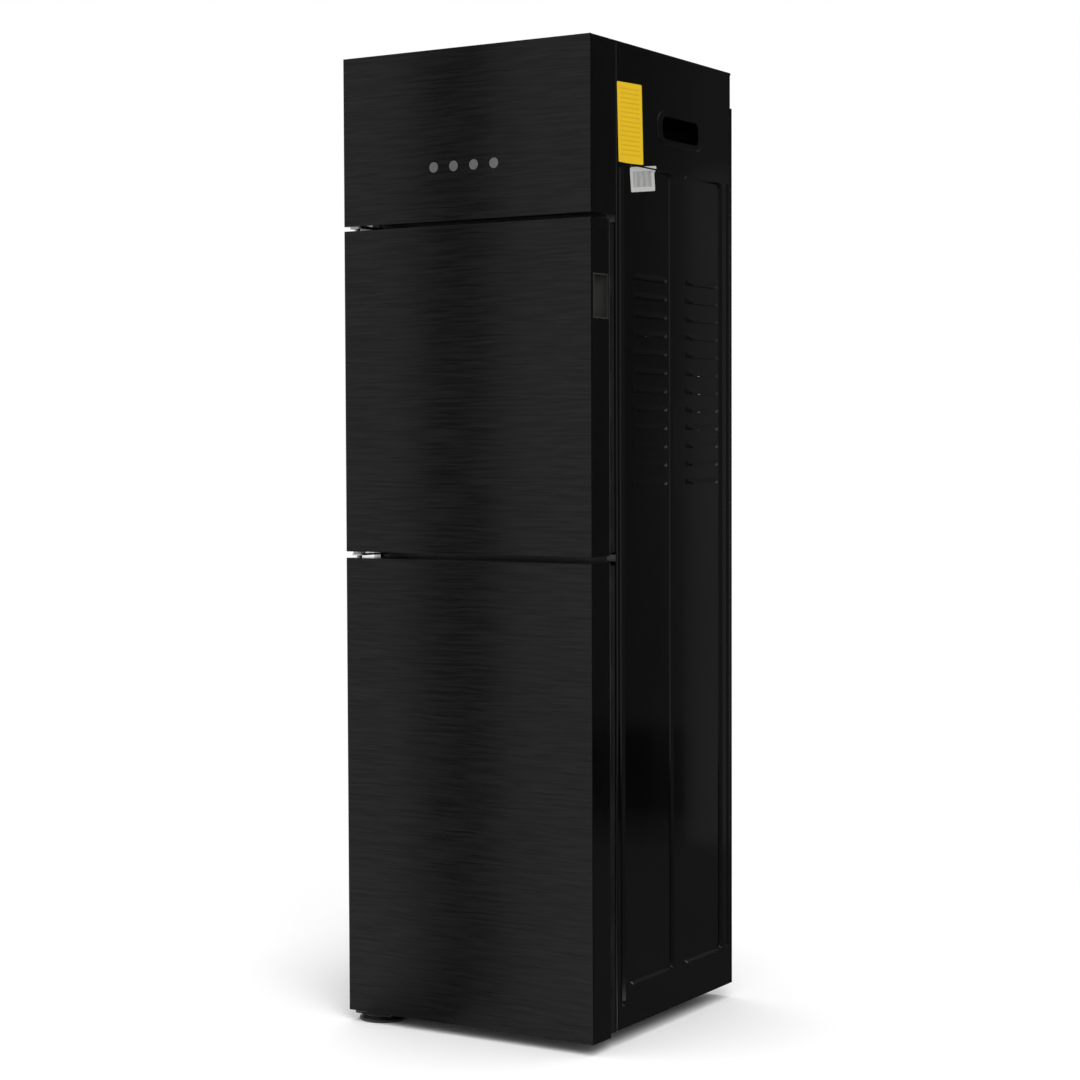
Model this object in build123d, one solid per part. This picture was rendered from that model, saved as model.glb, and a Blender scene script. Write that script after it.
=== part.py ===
from build123d import *
import math
import os

# A floor-standing water dispenser that takes its bottle behind the lower door.
# Millimetres, +Z up, doors facing -Y, origin on the floor under the middle.
# A depth is measured backwards from the plane of the door fronts.

# Overall sizes
WIDTH = 320.0
BODY_DEPTH = 325.0
FLOOR_GAP = 12.0
LOWER_DOOR_H = 513.0
MIDDLE_DOOR_H = 358.5
HEAD_H = 186.5
DOOR_GAP = 7.0
HEAD_GAP = 5.0
DOOR_T = 40.0
DOOR_SETBACK = 13.0
BASE_LIFT = 4.5
REAR_PROUD = 3.0

# Sheets and moulded walls
SHEET = 1.0
SKIN_T = 1.2
SKIN_ROUND = 0.5
WALL = 2.5
LID_T = 3.0
LID_ROUND = 1.2
FRAME_T = 2.5
LINER_T = 2.5
FLANGE = 12.0
BEND_R = 2.0
REAR_LIP = 3.0
REAR_HEM = 6.0
REAR_DROP = 41.0

# Clearances
FIT = 0.3
RUN = 0.05
SEAL_GAP = 0.4

# Pressings of the side panels
PRESS_DEEP = 3.0
PRESS_RUN = 2.7
PRESS_R = 9.0
GROOVE_GAP = 0.5
GROOVE_W = 13.0
FRONT_RIB_W = 9.0
FRONT_POCKET_W = 102.0
MIDDLE_RIB_W = 24.0
REAR_RIB_W = 9.0
REAR_GROOVE_W = 7.0
REAR_GROOVE_R = 3.2
REAR_MARGIN = 5.0
GROOVE_LIFT = 23.0
POCKET_LIFT = 44.0
POCKET_DROP = 129.0
LOUVRES = 12
LOUVRE_PITCH = 20.4
LOUVRE_L = 74.0
LOUVRE_H = 7.0
LOUVRE_OUT = 2.8
LOUVRE_LIP = 2.0
LOUVRE_CROWN = 8.0
LOUVRE_FALL = 6.2
LOUVRE_SLOPE = 60.0
LOUVRE_T = 0.8
LOUVRE_BACK = 2.0
LOUVRE_DROP = 251.5

# Hand grips in the side panels
GRIP_L = 84.0
GRIP_H = 25.0
GRIP_R = 8.0
GRIP_WALL = 2.0
GRIP_RIM = 6.0
GRIP_RIM_END = 13.0
GRIP_PROUD = 1.0
GRIP_ROUND = 0.7
GRIP_DEEP = 28.0
GRIP_DROP = 81.0
GRIP_DEPTH = 198.0

# Door hinges
PIN_IN = 8.0
PIN_DEPTH = 14.0
PIN_R = 3.0
PIN_L = 14.0
BUSH_WALL = 2.0
BUSH_RIM = 2.0
HINGE_BLOCK_W = 26.0
HINGE_BLOCK_L = 24.0
HINGE_BLOCK_EDGE = 6.0
BRACKET_T = 2.0
BRACKET_W = 16.0
BRACKET_SIDE = 2.0
BRACKET_ROUND = 4.0
BRACKET_TAB_H = 38.0
BRACKET_TAB_W = 9.0
FOOT_BRACKET_T = 2.5
FOOT_BRACKET_W = 50.0
FOOT_BRACKET_REACH = 25.0
FOOT_BRACKET_PLAY = 2.0

# Door liners, seals and the finger pull
LEDGE_W = 5.0
LEDGE_T = 3.0
LINER_FIELD_IN = 40.0
LINER_FIELD_DEEP = 1.0
LINER_FIELD_R = 12.0
DOOR_ROUND = 2.0
SEAL_IN_X = 12.5
SEAL_IN_Z = 3.0
SEAL_W = 8.0
SEAL_ROUND = 2.0
PULL_H = 48.0
PULL_W = 32.0
PULL_EDGE = 4.5
PULL_DEEP = 16.0
PULL_WALL = 2.0
PULL_DROP = 58.0

# Head, buttons and control board
BUTTONS = 4
BUTTON_PITCH = 26.0
BUTTON_R = 5.8
BUTTON_ROUND = 0.6
BUTTON_COLLAR = 1.8
BUTTON_COLLAR_T = 1.2
BUTTON_TRAVEL = 1.2
BUTTON_STEM_R = 3.0
BUTTON_LIFT = 58.8
BOARD_W = 130.0
BOARD_H = 44.0
BOARD_T = 1.6
BOARD_EDGE = 6.0
BOARD_POST_R = 3.5
BOARD_POST_L = 8.0
SWITCH_W = 6.0
SWITCH_T = 3.0

# Front frame, niche, partition and base
BASE_T = 1.5
BASE_RIM = 10.0
BASE_ROUND = 2.0
BAY_SILL = 0.5
BAY_HEAD = 12.0
BAY_SIDE = 18.0
BAY_R = 6.0
FRAME_OVER = 10.0
NICHE_SIDE = 32.0
NICHE_LIFT = 33.0
NICHE_DROP = 28.0
TANK_ROOM = 156.5
NICHE_WALL = 2.0
NICHE_R = 10.0
NICHE_RIM = 10.0
PARTITION_LIFT = 10.0
PARTITION_T = 1.5

# Taps and drip tray
TAP_PITCH = 70.0
TAP_DROP = 54.0
TAP_R = 11.0
TAP_L = 40.0
TAP_ROUND = 3.0
TAP_FLANGE_R = 17.0
TAP_FLANGE_T = 3.0
TAIL_R = 8.0
TAIL_L = 27.0
NUT_FLATS = 26.0
NUT_T = 7.0
SPOUT_R = 7.5
SPOUT_BORE_R = 4.0
SPOUT_L = 33.0
SPOUT_TIP = 6.0
SPOUT_TIP_R = 5.5
SPOUT_BACK = 28.0
LUG_W = 8.0
LUG_L = 12.0
LUG_H = 20.0
LEVER_PIN_R = 2.0
LEVER_PIN_H = 15.5
LEVER_CHEEK = 3.0
LEVER_W = 20.0
LEVER_T = 6.0
LEVER_LIFT = 2.0
LEVER_REACH = 44.0
LEVER_BACK = 9.0
LEVER_ROUND = 2.0
TRAY_SIDE = 20.0
TRAY_FRONT = 8.0
TRAY_BACK = 20.0
TRAY_H = 16.0
TRAY_WALL = 2.0
TRAY_R = 10.0
GRILLE_T = 2.5
GRILLE_ROUND = 0.8
GRILLE_PITCH = 7.5
GRILLE_SLOT_W = 4.0
GRILLE_MARGIN = 10.0
GRILLE_GRIP = 22.0

# Tanks, cooling stack and water path
BRIDGE_LIFT = 70.0
BRIDGE_SIDE = 5.0
TANK_GAP = 6.0
TANK_DROP = 24.0
TANK_WALL = 1.5
TANK_ROUND = 3.0
JACKET_T = 8.0
HOT_R = 44.0
HOT_SHIFT = 16.0
HOT_REAR_GAP = 32.0
HEATER_R = 3.5
HEATER_SPAN = 16.0
HEATER_DROP = 30.0
HEATER_FLANGE_R = 22.0
HEATER_FLANGE_T = 3.0
COLD_W = 112.0
COLD_INNER_SIDE = 50.0
MODULE_W = 40.0
MODULE_T = 4.0
SINK_W = 96.0
SINK_BASE = 6.0
SINK_T = 24.0
SINK_FINS = 12
SINK_FIN_T = 1.5
FAN_W = 92.0
FAN_T = 16.0
FAN_RING = 3.0
FAN_TIP_GAP = 1.5
FAN_HUB_R = 15.0
FAN_HUB_T = 11.0
FAN_BLADES = 7
FAN_BLADE_T = 1.4
FAN_BLADE_W = 10.0
FAN_BLADE_TILT = 38.0
FAN_SPIDER_T = 2.5
FAN_SPIDER_W = 4.0
FAN_AXLE_R = 1.5
FAN_REAR_GAP = 13.0
NIPPLE_R = 4.5
NIPPLE_BORE_R = 3.0
NIPPLE_L = 8.0
HOSE_WALL = 1.5
HOSE_BEND_R = 14.0
HOSE_BACK = 28.0
MANIFOLD_R = 9.0
MANIFOLD_DROP = 26.0
MANIFOLD_END = 15.0
PUMP_LEFT = 92.0
PUMP_W = 40.0
PUMP_H = 44.0
PUMP_MOTOR_R = 16.0
PUMP_MOTOR_L = 45.0
PUMP_INLET_H = 28.0
PUMP_INLET_L = 12.0
PROBE_SIDE = 25.0
PROBE_BEHIND = 13.5
PROBE_CAP_R = 24.0
PROBE_CAP_H = 24.0
PROBE_CAP_WALL = 2.5
PROBE_CAP_ROUND = 2.0
PROBE_TUBE_R = 5.0
PROBE_TUBE_BORE_R = 3.5
PROBE_TUBE_L = 430.0
GROMMET_R = 8.0

# Power board over the niche
POWER_W = 110.0
POWER_D = 74.0
POWER_POST_L = 6.0
COIL_W = 40.0
COIL_H = 32.0
CAN_R = 9.0
CAN_H = 25.0
CAN_PITCH = 27.0
CAN_ROUND = 1.0

# Rear fittings
MAIN_SWITCH_X = -95.0
MAIN_SWITCH_DROP = 97.0
ROCKER_W = 12.0
ROCKER_H = 21.0
ROCKER_TILT = 8.0
ROCKER_DEEP = 7.0
ROCKER_PIVOT_IN = 3.0
ROCKER_PIN_R = 1.5
SWITCH_RIM = 4.0
SWITCH_BODY_L = 24.0
GLAND_X = -110.0
GLAND_LIFT = 34.0
GLAND_R = 8.0
GLAND_BORE_R = 3.8
GLAND_FLANGE_R = 13.0
GLAND_L = 18.0
DRAIN_PIPE_R = 6.0
DRAIN_PIPE_END = 2.0
DRAIN_PLUG_R = 10.0
DRAIN_PLUG_L = 14.0
DRAIN_SLOT_W = 2.5
DRAIN_SLOT_DEEP = 2.0
VENT_SLOTS = 9
VENT_PITCH = 10.0
VENT_W = 4.0
SCREWS_A_SIDE = 4
SCREW_R = 2.0
SCREW_HEAD_R = 4.0
SCREW_HEAD_T = 2.2
SCREW_L = 8.0
SCREW_IN = 6.0
SCREW_END = 30.0

# Levelling feet
FOOT_R = 27.0
FOOT_DISC_H = 3.0
FOOT_CONE_H = 5.5
FOOT_NECK_R = 21.0
FOOT_CHAMFER = 0.8
STUD_R = 4.0
STUD_UP = 7.5
BOSS_R = 8.0
HINGE_FOOT_IN = 27.0
HINGE_FOOT_DEPTH = 28.5
FRONT_FOOT_IN = 66.0
FRONT_FOOT_DEPTH = 90.0
REAR_FOOT_IN = 66.0
REAR_FOOT_BACK = 35.0

# Levels and planes worked out from the sizes above
HALF = WIDTH / 2
FRONT_Y = -(BODY_DEPTH + REAR_PROUD) / 2
LOWER_Z0 = FLOOR_GAP
LOWER_Z1 = LOWER_Z0 + LOWER_DOOR_H
MIDDLE_Z0 = LOWER_Z1 + DOOR_GAP
MIDDLE_Z1 = MIDDLE_Z0 + MIDDLE_DOOR_H
HEAD_Z0 = MIDDLE_Z1 + HEAD_GAP
TOP_Z = HEAD_Z0 + HEAD_H
BASE_Z = FLOOR_GAP + BASE_LIFT
BASE_TOP = BASE_Z + BASE_RIM
BASE_UNDER = BASE_TOP - BASE_T
CABINET_D = DOOR_T + DOOR_SETBACK
FRAME_D0 = CABINET_D + SHEET
FRAME_D1 = FRAME_D0 + FRAME_T
SIDE_D1 = BODY_DEPTH - REAR_LIP
REAR_TOP = TOP_Z - REAR_DROP
INNER = HALF - 2 * SHEET - PRESS_DEEP
PIN_X = -HALF + PIN_IN
BUSH_R = PIN_R + BUSH_WALL
NICHE_HALF = HALF - NICHE_SIDE
NICHE_Z0 = MIDDLE_Z0 + NICHE_LIFT
NICHE_Z1 = MIDDLE_Z1 - NICHE_DROP
NICHE_BACK = BODY_DEPTH - TANK_ROOM
NICHE_D1 = NICHE_BACK - NICHE_WALL
TRAY_D = NICHE_D1 - FRAME_D1 - TRAY_FRONT - TRAY_BACK
PARTITION_Z = MIDDLE_Z0 + PARTITION_LIFT
PARTITION_TOP = PARTITION_Z + PARTITION_T
TAP_Z = NICHE_Z1 - TAP_DROP
TAP_D0 = NICHE_D1 - TAP_L
TAIL_END = NICHE_D1 + TAIL_L
BRIDGE_Z = PARTITION_TOP + BRIDGE_LIFT
BRIDGE_TOP = BRIDGE_Z + SHEET
TANK_TOP = TAP_Z - TANK_DROP
PORT_D = TAIL_END + HOSE_BACK
HOSE_R = NIPPLE_R + RUN + HOSE_WALL
JACKET_R = HOT_R + FIT + JACKET_T
HOT_X = -(TAP_PITCH + HOT_SHIFT)
HOT_D = BODY_DEPTH - SHEET - HOT_REAR_GAP - JACKET_R
COLD_X0 = TAP_PITCH - COLD_INNER_SIDE
COLD_X1 = COLD_X0 + COLD_W
COLD_X = (COLD_X0 + COLD_X1) / 2
FAN_D1 = BODY_DEPTH - SHEET - FAN_REAR_GAP
FAN_D0 = FAN_D1 - FAN_T
SINK_D0 = FAN_D0 - SINK_T
COLD_D0 = NICHE_BACK + TANK_GAP
COLD_D1 = SINK_D0 - MODULE_T
TANK_MID_Z = (BRIDGE_TOP + TANK_TOP) / 2
MANIFOLD_Z = BRIDGE_Z - MANIFOLD_DROP
PROBE_X = -INNER + PROBE_SIDE
PROBE_D = NICHE_BACK + PROBE_BEHIND
BUTTON_Z = HEAD_Z0 + BUTTON_LIFT
BOARD_D = SKIN_T + WALL + BOARD_POST_L
FOOT_PLATE_TOP = FLOOR_GAP - FOOT_BRACKET_PLAY
FOOT_PLATE_Z = FOOT_PLATE_TOP - FOOT_BRACKET_T


def block(x0, x1, d0, d1, z0, z1):
    """A box between two corners, with its depths measured from the door fronts."""
    middle = Pos((x0 + x1) / 2, FRONT_Y + (d0 + d1) / 2, (z0 + z1) / 2)
    return middle * Box(x1 - x0, d1 - d0, z1 - z0)


def upright(x, depth, z0, z1, radius):
    """A round bar standing along Z."""
    return Pos(x, FRONT_Y + depth, (z0 + z1) / 2) * Cylinder(radius, z1 - z0)


def front_to_back(x, d0, d1, z, radius):
    """A round bar lying along Y."""
    return Pos(x, FRONT_Y + (d0 + d1) / 2, z) * Rot(90, 0, 0) * Cylinder(radius, d1 - d0)


def side_to_side(x0, x1, depth, z, radius):
    """A round bar lying along X."""
    return Pos((x0 + x1) / 2, FRONT_Y + depth, z) * Rot(0, 90, 0) * Cylinder(radius, x1 - x0)


def rounded(box, axis, radius):
    """A box with the edges along one axis rounded."""
    return fillet(box.edges().filter_by(axis), radius)


def ring(x0, x1, d0, d1, z0, z1, width):
    """A rectangular ring that is open from front to back."""
    return block(x0, x1, d0, d1, z0, z1) - block(x0 + width, x1 - width, d0, d1, z0 + width, z1 - width)


def group(solids):
    """Several separate solids kept as one piece."""
    return Compound(children=[solid for shape in solids for solid in shape.solids()])


def side_outline(x, d0, d1, z0, z1, radius):
    """A rounded rectangle drawn on a side plane."""
    middle = (x, FRONT_Y + (d0 + d1) / 2, (z0 + z1) / 2)
    plane = Plane(origin=middle, x_dir=(0, 1, 0), z_dir=(1, 0, 0))
    return plane * RectangleRounded(d1 - d0, z1 - z0, radius)


def pressing(d0, d1, z0, z1, radius):
    """The hollow and the sheet around it of one pressing in the right side panel."""
    slope = PRESS_RUN
    hollow = loft([
        side_outline(HALF, d0, d1, z0, z1, radius),
        side_outline(HALF - PRESS_DEEP, d0 + slope, d1 - slope, z0 + slope, z1 - slope, radius - slope),
    ])
    grow = SHEET
    floor = slope - SHEET
    sheet = loft([
        side_outline(HALF, d0 - grow, d1 + grow, z0 - grow, z1 + grow, radius + grow),
        side_outline(
            HALF - PRESS_DEEP - SHEET,
            d0 + floor, d1 - floor, z0 + floor, z1 - floor, radius - floor,
        ),
    ])
    return hollow, sheet


def louvre_hood(depth, z, length, height, out, lip, under):
    """A hood with a sloping top and ends that fall gently, then steeply, to the floor."""
    floor = HALF - PRESS_DEEP
    low = floor - under
    high = floor + out
    brow = high - LOUVRE_CROWN * math.tan(math.radians(LOUVRE_FALL))
    steep = (brow - floor) / math.tan(math.radians(LOUVRE_SLOPE))
    ramp = steep + LOUVRE_CROWN
    d0 = FRONT_Y + depth - length / 2
    d1 = FRONT_Y + depth + length / 2
    section = make_face(Polyline(
        (low, d0, z), (high, d0, z), (high, d0, z + lip),
        (floor, d0, z + height), (low, d0, z + height), close=True,
    ))
    plan = make_face(Polyline(
        (low, d0, z), (floor, d0, z), (brow, d0 + steep, z), (high, d0 + ramp, z),
        (high, d1 - ramp, z), (brow, d1 - steep, z), (floor, d1, z), (low, d1, z), close=True,
    ))
    return extrude(section, length, dir=(0, 1, 0)) & extrude(plan, height, dir=(0, 0, 1))


def louvre(depth, z):
    """The hood and the air slot of one louvre on a pressing's floor."""
    wall = LOUVRE_T
    end = wall / math.sin(math.radians(LOUVRE_SLOPE))
    hood = louvre_hood(depth, z, LOUVRE_L, LOUVRE_H, LOUVRE_OUT, LOUVRE_LIP, SHEET / 2)
    slot = louvre_hood(
        depth, z, LOUVRE_L - 2 * end, LOUVRE_H - 2 * wall, LOUVRE_OUT - wall, LOUVRE_LIP - wall, 2 * SHEET,
    )
    return hood, slot


def grip_outline(x, grow):
    """The hand grip's pocket outline, made larger all round by grow."""
    z = TOP_Z - GRIP_DROP
    half_l = GRIP_L / 2 + grow
    half_h = GRIP_H / 2 + grow
    return side_outline(x, GRIP_DEPTH - half_l, GRIP_DEPTH + half_l, z - half_h, z + half_h, GRIP_R + grow)


def grip_rim_outline():
    """The hand grip's rim on the side panel, with round ends."""
    z = TOP_Z - GRIP_DROP
    half_l = GRIP_L / 2 + GRIP_RIM_END
    half_h = GRIP_H / 2 + GRIP_RIM
    return side_outline(HALF, GRIP_DEPTH - half_l, GRIP_DEPTH + half_l, z - half_h, z + half_h, half_h - RUN)


def screw_levels():
    """Heights of the rear panel's screws on one side."""
    low = BASE_Z + SCREW_END
    step = (REAR_TOP - SCREW_END - low) / (SCREWS_A_SIDE - 1)
    return [low + step * i for i in range(SCREWS_A_SIDE)]


def make_side_panel():
    """The right side panel: a folded sheet with pressings, louvres and a grip cut-out."""
    lid_under = TOP_Z - LID_T
    outer = block(HALF - FLANGE, HALF, CABINET_D, SIDE_D1, BASE_Z, lid_under)
    bends = outer.edges().filter_by(Axis.Z).group_by(Axis.X)[-1]
    outer = fillet(bends, BEND_R)
    inner = block(HALF - FLANGE, HALF - SHEET, CABINET_D + SHEET, SIDE_D1 - SHEET, BASE_Z, lid_under)
    bends = inner.edges().filter_by(Axis.Z).group_by(Axis.X)[-1]
    inner = fillet(bends, BEND_R - SHEET)
    panel = outer - inner

    groove_d0 = FRAME_D1 + SHEET + GROOVE_GAP
    groove_d1 = groove_d0 + GROOVE_W
    front_d0 = groove_d1 + FRONT_RIB_W
    front_d1 = front_d0 + FRONT_POCKET_W
    rear_d0 = front_d1 + MIDDLE_RIB_W
    strip_d1 = SIDE_D1 - REAR_MARGIN
    strip_d0 = strip_d1 - REAR_GROOVE_W
    rear_d1 = strip_d0 - REAR_RIB_W
    low = BASE_Z + POCKET_LIFT
    high = TOP_Z - POCKET_DROP
    groove_low = BASE_Z + GROOVE_LIFT
    presses = [
        pressing(groove_d0, groove_d1, groove_low, high, GROOVE_W / 2 - RUN),
        pressing(front_d0, front_d1, low, high, PRESS_R),
        pressing(rear_d0, rear_d1, low, high, PRESS_R),
        pressing(strip_d0, strip_d1, low, high, REAR_GROOVE_R),
    ]
    panel = panel + [sheet for hollow, sheet in presses]
    panel = panel - [hollow for hollow, sheet in presses]

    top_louvre = TOP_Z - LOUVRE_DROP
    vents = []
    for middle in ((front_d0 + front_d1) / 2, (rear_d0 + rear_d1) / 2):
        depth = middle + LOUVRE_BACK
        vents += [louvre(depth, top_louvre - LOUVRE_PITCH * i) for i in range(LOUVRES)]
    panel = panel + [hood for hood, slot in vents]
    panel = panel - [slot for hood, slot in vents]

    panel = panel - extrude(grip_outline(HALF - FLANGE, GRIP_WALL + FIT), FLANGE)
    holes = [
        front_to_back(HALF - SCREW_IN, SIDE_D1 - FLANGE, SIDE_D1, z, SCREW_R + RUN)
        for z in screw_levels()
    ]
    return panel - holes


def make_side_grip():
    """A moulded hand-grip cup with a rim that lies on the right side panel."""
    rim = extrude(grip_rim_outline(), GRIP_PROUD)
    rim = fillet(rim.edges().group_by(Axis.X)[-1], GRIP_ROUND)
    cup = extrude(grip_outline(HALF - GRIP_DEEP - GRIP_WALL, GRIP_WALL), GRIP_DEEP + GRIP_WALL)
    pocket = extrude(grip_outline(HALF - GRIP_DEEP, 0), GRIP_DEEP + GRIP_PROUD)
    return rim + cup - pocket


def make_base_plate():
    """The folded steel base, open below, with nut bosses for three of the feet."""
    half = HALF - SHEET
    d1 = SIDE_D1 - SHEET
    plate = rounded(block(-half, half, FRAME_D0, d1, BASE_Z, BASE_TOP), Axis.Z, BASE_ROUND)
    plate = plate - block(
        -half + BASE_T, half - BASE_T, FRAME_D0 + BASE_T, d1 - BASE_T, BASE_Z, BASE_UNDER,
    )
    for x, depth in base_feet():
        plate = plate + upright(x, depth, BASE_Z, BASE_TOP, BOSS_R)
        plate = plate - upright(x, depth, BASE_Z, BASE_UNDER, STUD_R + RUN)
    return plate


def base_feet():
    """Places of the feet that screw into the base tray."""
    rear = BODY_DEPTH - REAR_FOOT_BACK
    return [
        (HALF - FRONT_FOOT_IN, FRONT_FOOT_DEPTH),
        (-HALF + REAR_FOOT_IN, rear),
        (HALF - REAR_FOOT_IN, rear),
    ]


def make_foot(x, depth, under, stud_top):
    """A levelling foot: a flared disc, a neck and a stud, turned about Z."""
    neck_top = under - FIT
    profile = make_face(Polyline(
        (0, 0, 0),
        (FOOT_R - FOOT_CHAMFER, 0, 0),
        (FOOT_R, 0, FOOT_CHAMFER),
        (FOOT_R, 0, FOOT_DISC_H - FOOT_CHAMFER),
        (FOOT_R - FOOT_CHAMFER, 0, FOOT_DISC_H),
        (FOOT_NECK_R, 0, FOOT_CONE_H),
        (FOOT_NECK_R, 0, neck_top),
        (STUD_R, 0, neck_top),
        (STUD_R, 0, stud_top),
        (0, 0, stud_top),
        close=True,
    ))
    return Pos(x, FRONT_Y + depth, 0) * revolve(profile, Axis.Z)


def make_rear_panel():
    """The rear panel: a hemmed sheet with fan vents and holes for its fittings."""
    panel = block(-HALF, HALF, SIDE_D1, BODY_DEPTH, BASE_Z, REAR_TOP)
    panel = panel - block(
        -HALF + REAR_HEM, HALF - REAR_HEM, SIDE_D1, BODY_DEPTH - SHEET,
        BASE_Z + REAR_HEM, REAR_TOP - REAR_HEM,
    )
    slot_l = FAN_W - 2 * FAN_RING
    slot = block(
        COLD_X - slot_l / 2, COLD_X + slot_l / 2, BODY_DEPTH - SHEET, BODY_DEPTH,
        TANK_MID_Z - VENT_W / 2, TANK_MID_Z + VENT_W / 2,
    )
    slot = rounded(slot, Axis.Y, VENT_W / 2 - RUN)
    first = -(VENT_SLOTS - 1) / 2
    cuts = [Pos(0, 0, VENT_PITCH * (first + i)) * slot for i in range(VENT_SLOTS)]
    for side in (-1, 1):
        x = side * (HALF - SCREW_IN)
        cuts += [front_to_back(x, SIDE_D1, BODY_DEPTH, z, SCREW_R + RUN) for z in screw_levels()]
    cuts.append(front_to_back(GLAND_X, SIDE_D1, BODY_DEPTH, gland_z(), GLAND_R + RUN))
    cuts.append(front_to_back(drain_x(), SIDE_D1, BODY_DEPTH, MANIFOLD_Z, DRAIN_PLUG_R + FIT))
    cuts.append(switch_block(FIT, SIDE_D1, BODY_DEPTH))
    return panel - cuts


def gland_z():
    """Height of the mains gland over the partition."""
    return PARTITION_TOP + GLAND_LIFT


def drain_x():
    """The drain pipe leaves the manifold near its left end."""
    return HOT_X - MANIFOLD_END + DRAIN_PIPE_END + DRAIN_PIPE_R


def switch_block(grow, d0, d1):
    """The main switch's body outline between two depths."""
    half_w = ROCKER_W / 2 + SWITCH_RIM + grow
    half_h = ROCKER_H / 2 + SWITCH_RIM + grow
    z = TOP_Z - MAIN_SWITCH_DROP
    return block(MAIN_SWITCH_X - half_w, MAIN_SWITCH_X + half_w, d0, d1, z - half_h, z + half_h)


def make_rear_screws():
    """The pan-head screws that hold the rear panel to the side panels."""
    screws = []
    for side in (-1, 1):
        x = side * (HALF - SCREW_IN)
        for z in screw_levels():
            head = front_to_back(x, BODY_DEPTH, BODY_DEPTH + SCREW_HEAD_T, z, SCREW_HEAD_R)
            head = fillet(head.edges().group_by(Axis.Y)[-1], SCREW_HEAD_T / 2)
            shank = front_to_back(x, BODY_DEPTH - SCREW_L, BODY_DEPTH, z, SCREW_R)
            screws.append(head + shank)
    return group(screws)


def make_top_lid():
    """The moulded lid with a skirt that closes the back above the rear panel."""
    lid = block(-HALF, HALF, SKIN_T, SIDE_D1, TOP_Z - LID_T, TOP_Z)
    lid = fillet(lid.edges().group_by(Axis.Z)[-1], LID_ROUND)
    half = HALF - FLANGE - FIT
    return lid + block(-half, half, SIDE_D1 - WALL, SIDE_D1, REAR_TOP, TOP_Z - LID_T)


def button_places():
    """Middles of the buttons across the head."""
    first = -(BUTTONS - 1) / 2
    return [BUTTON_PITCH * (first + i) for i in range(BUTTONS)]


def board_posts():
    """Places of the control board's posts."""
    x = BOARD_W / 2 - BOARD_EDGE
    z = BOARD_H / 2 - BOARD_EDGE
    return [(sx * x, BUTTON_Z + sz * z) for sx in (-1, 1) for sz in (-1, 1)]


def make_head_frame():
    """The head moulding behind the fascia, with the control board's posts."""
    under = TOP_Z - LID_T
    frame = block(-HALF, HALF, SKIN_T, CABINET_D, HEAD_Z0, under)
    frame = frame - block(-HALF + WALL, HALF - WALL, SKIN_T + WALL, CABINET_D, HEAD_Z0 + WALL, under)
    posts = [front_to_back(x, SKIN_T, BOARD_D, z, BOARD_POST_R) for x, z in board_posts()]
    holes = [front_to_back(x, 0, SKIN_T + WALL, BUTTON_Z, BUTTON_R + FIT) for x in button_places()]
    return frame + posts - holes


def make_fascia():
    """The brushed front sheet of the head with its button holes."""
    sheet = door_sheet(HEAD_Z0, TOP_Z)
    holes = [front_to_back(x, 0, SKIN_T, BUTTON_Z, BUTTON_R + FIT) for x in button_places()]
    return sheet - holes


def make_button(x):
    """A round push button with a retaining collar and a stem."""
    collar_d = SKIN_T + WALL + FIT
    stem_end = BOARD_D - SWITCH_T - BUTTON_TRAVEL - FIT
    cap = front_to_back(x, 0, collar_d, BUTTON_Z, BUTTON_R)
    cap = fillet(cap.edges().group_by(Axis.Y)[0], BUTTON_ROUND)
    collar = front_to_back(x, collar_d, collar_d + BUTTON_COLLAR_T, BUTTON_Z, BUTTON_R + BUTTON_COLLAR)
    return cap + collar + front_to_back(x, collar_d, stem_end, BUTTON_Z, BUTTON_STEM_R)


def make_control_board():
    """The control board on its posts, with one key switch behind each button."""
    half_w = BOARD_W / 2
    half_h = BOARD_H / 2
    board = block(-half_w, half_w, BOARD_D, BOARD_D + BOARD_T, BUTTON_Z - half_h, BUTTON_Z + half_h)
    half = SWITCH_W / 2
    for x in button_places():
        key = block(x - half, x + half, BOARD_D - SWITCH_T, BOARD_D, BUTTON_Z - half, BUTTON_Z + half)
        board = board + key
    return board


def door_sheet(z0, z1):
    """A brushed front sheet with its edges just broken."""
    sheet = block(-HALF, HALF, 0, SKIN_T, z0, z1)
    return fillet(sheet.edges().group_by(Axis.Y)[0], SKIN_ROUND)


def make_door_frame(z0, z1):
    """A moulded door frame with a ledge for its liner and two hinge blocks."""
    frame = block(-HALF, HALF, SKIN_T, DOOR_T, z0, z1)
    frame = fillet(frame.edges().group_by(Axis.Y)[-1], DOOR_ROUND)
    x = HALF - WALL
    frame = frame - block(-x, x, SKIN_T, DOOR_T, z0 + WALL, z1 - WALL)
    ledge_d = DOOR_T - LINER_T
    frame = frame + ring(-x, x, ledge_d - LEDGE_T, ledge_d, z0 + WALL, z1 - WALL, LEDGE_W)
    d0 = HINGE_BLOCK_EDGE
    d1 = 2 * PIN_DEPTH - HINGE_BLOCK_EDGE
    for low in (z0, z1 - HINGE_BLOCK_L):
        frame = frame + block(-HALF, -HALF + HINGE_BLOCK_W, d0, d1, low, low + HINGE_BLOCK_L)
    for low in (z0, z1 - HINGE_BLOCK_L):
        frame = frame - upright(PIN_X, PIN_DEPTH, low, low + HINGE_BLOCK_L, BUSH_R + RUN)
    return frame


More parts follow.
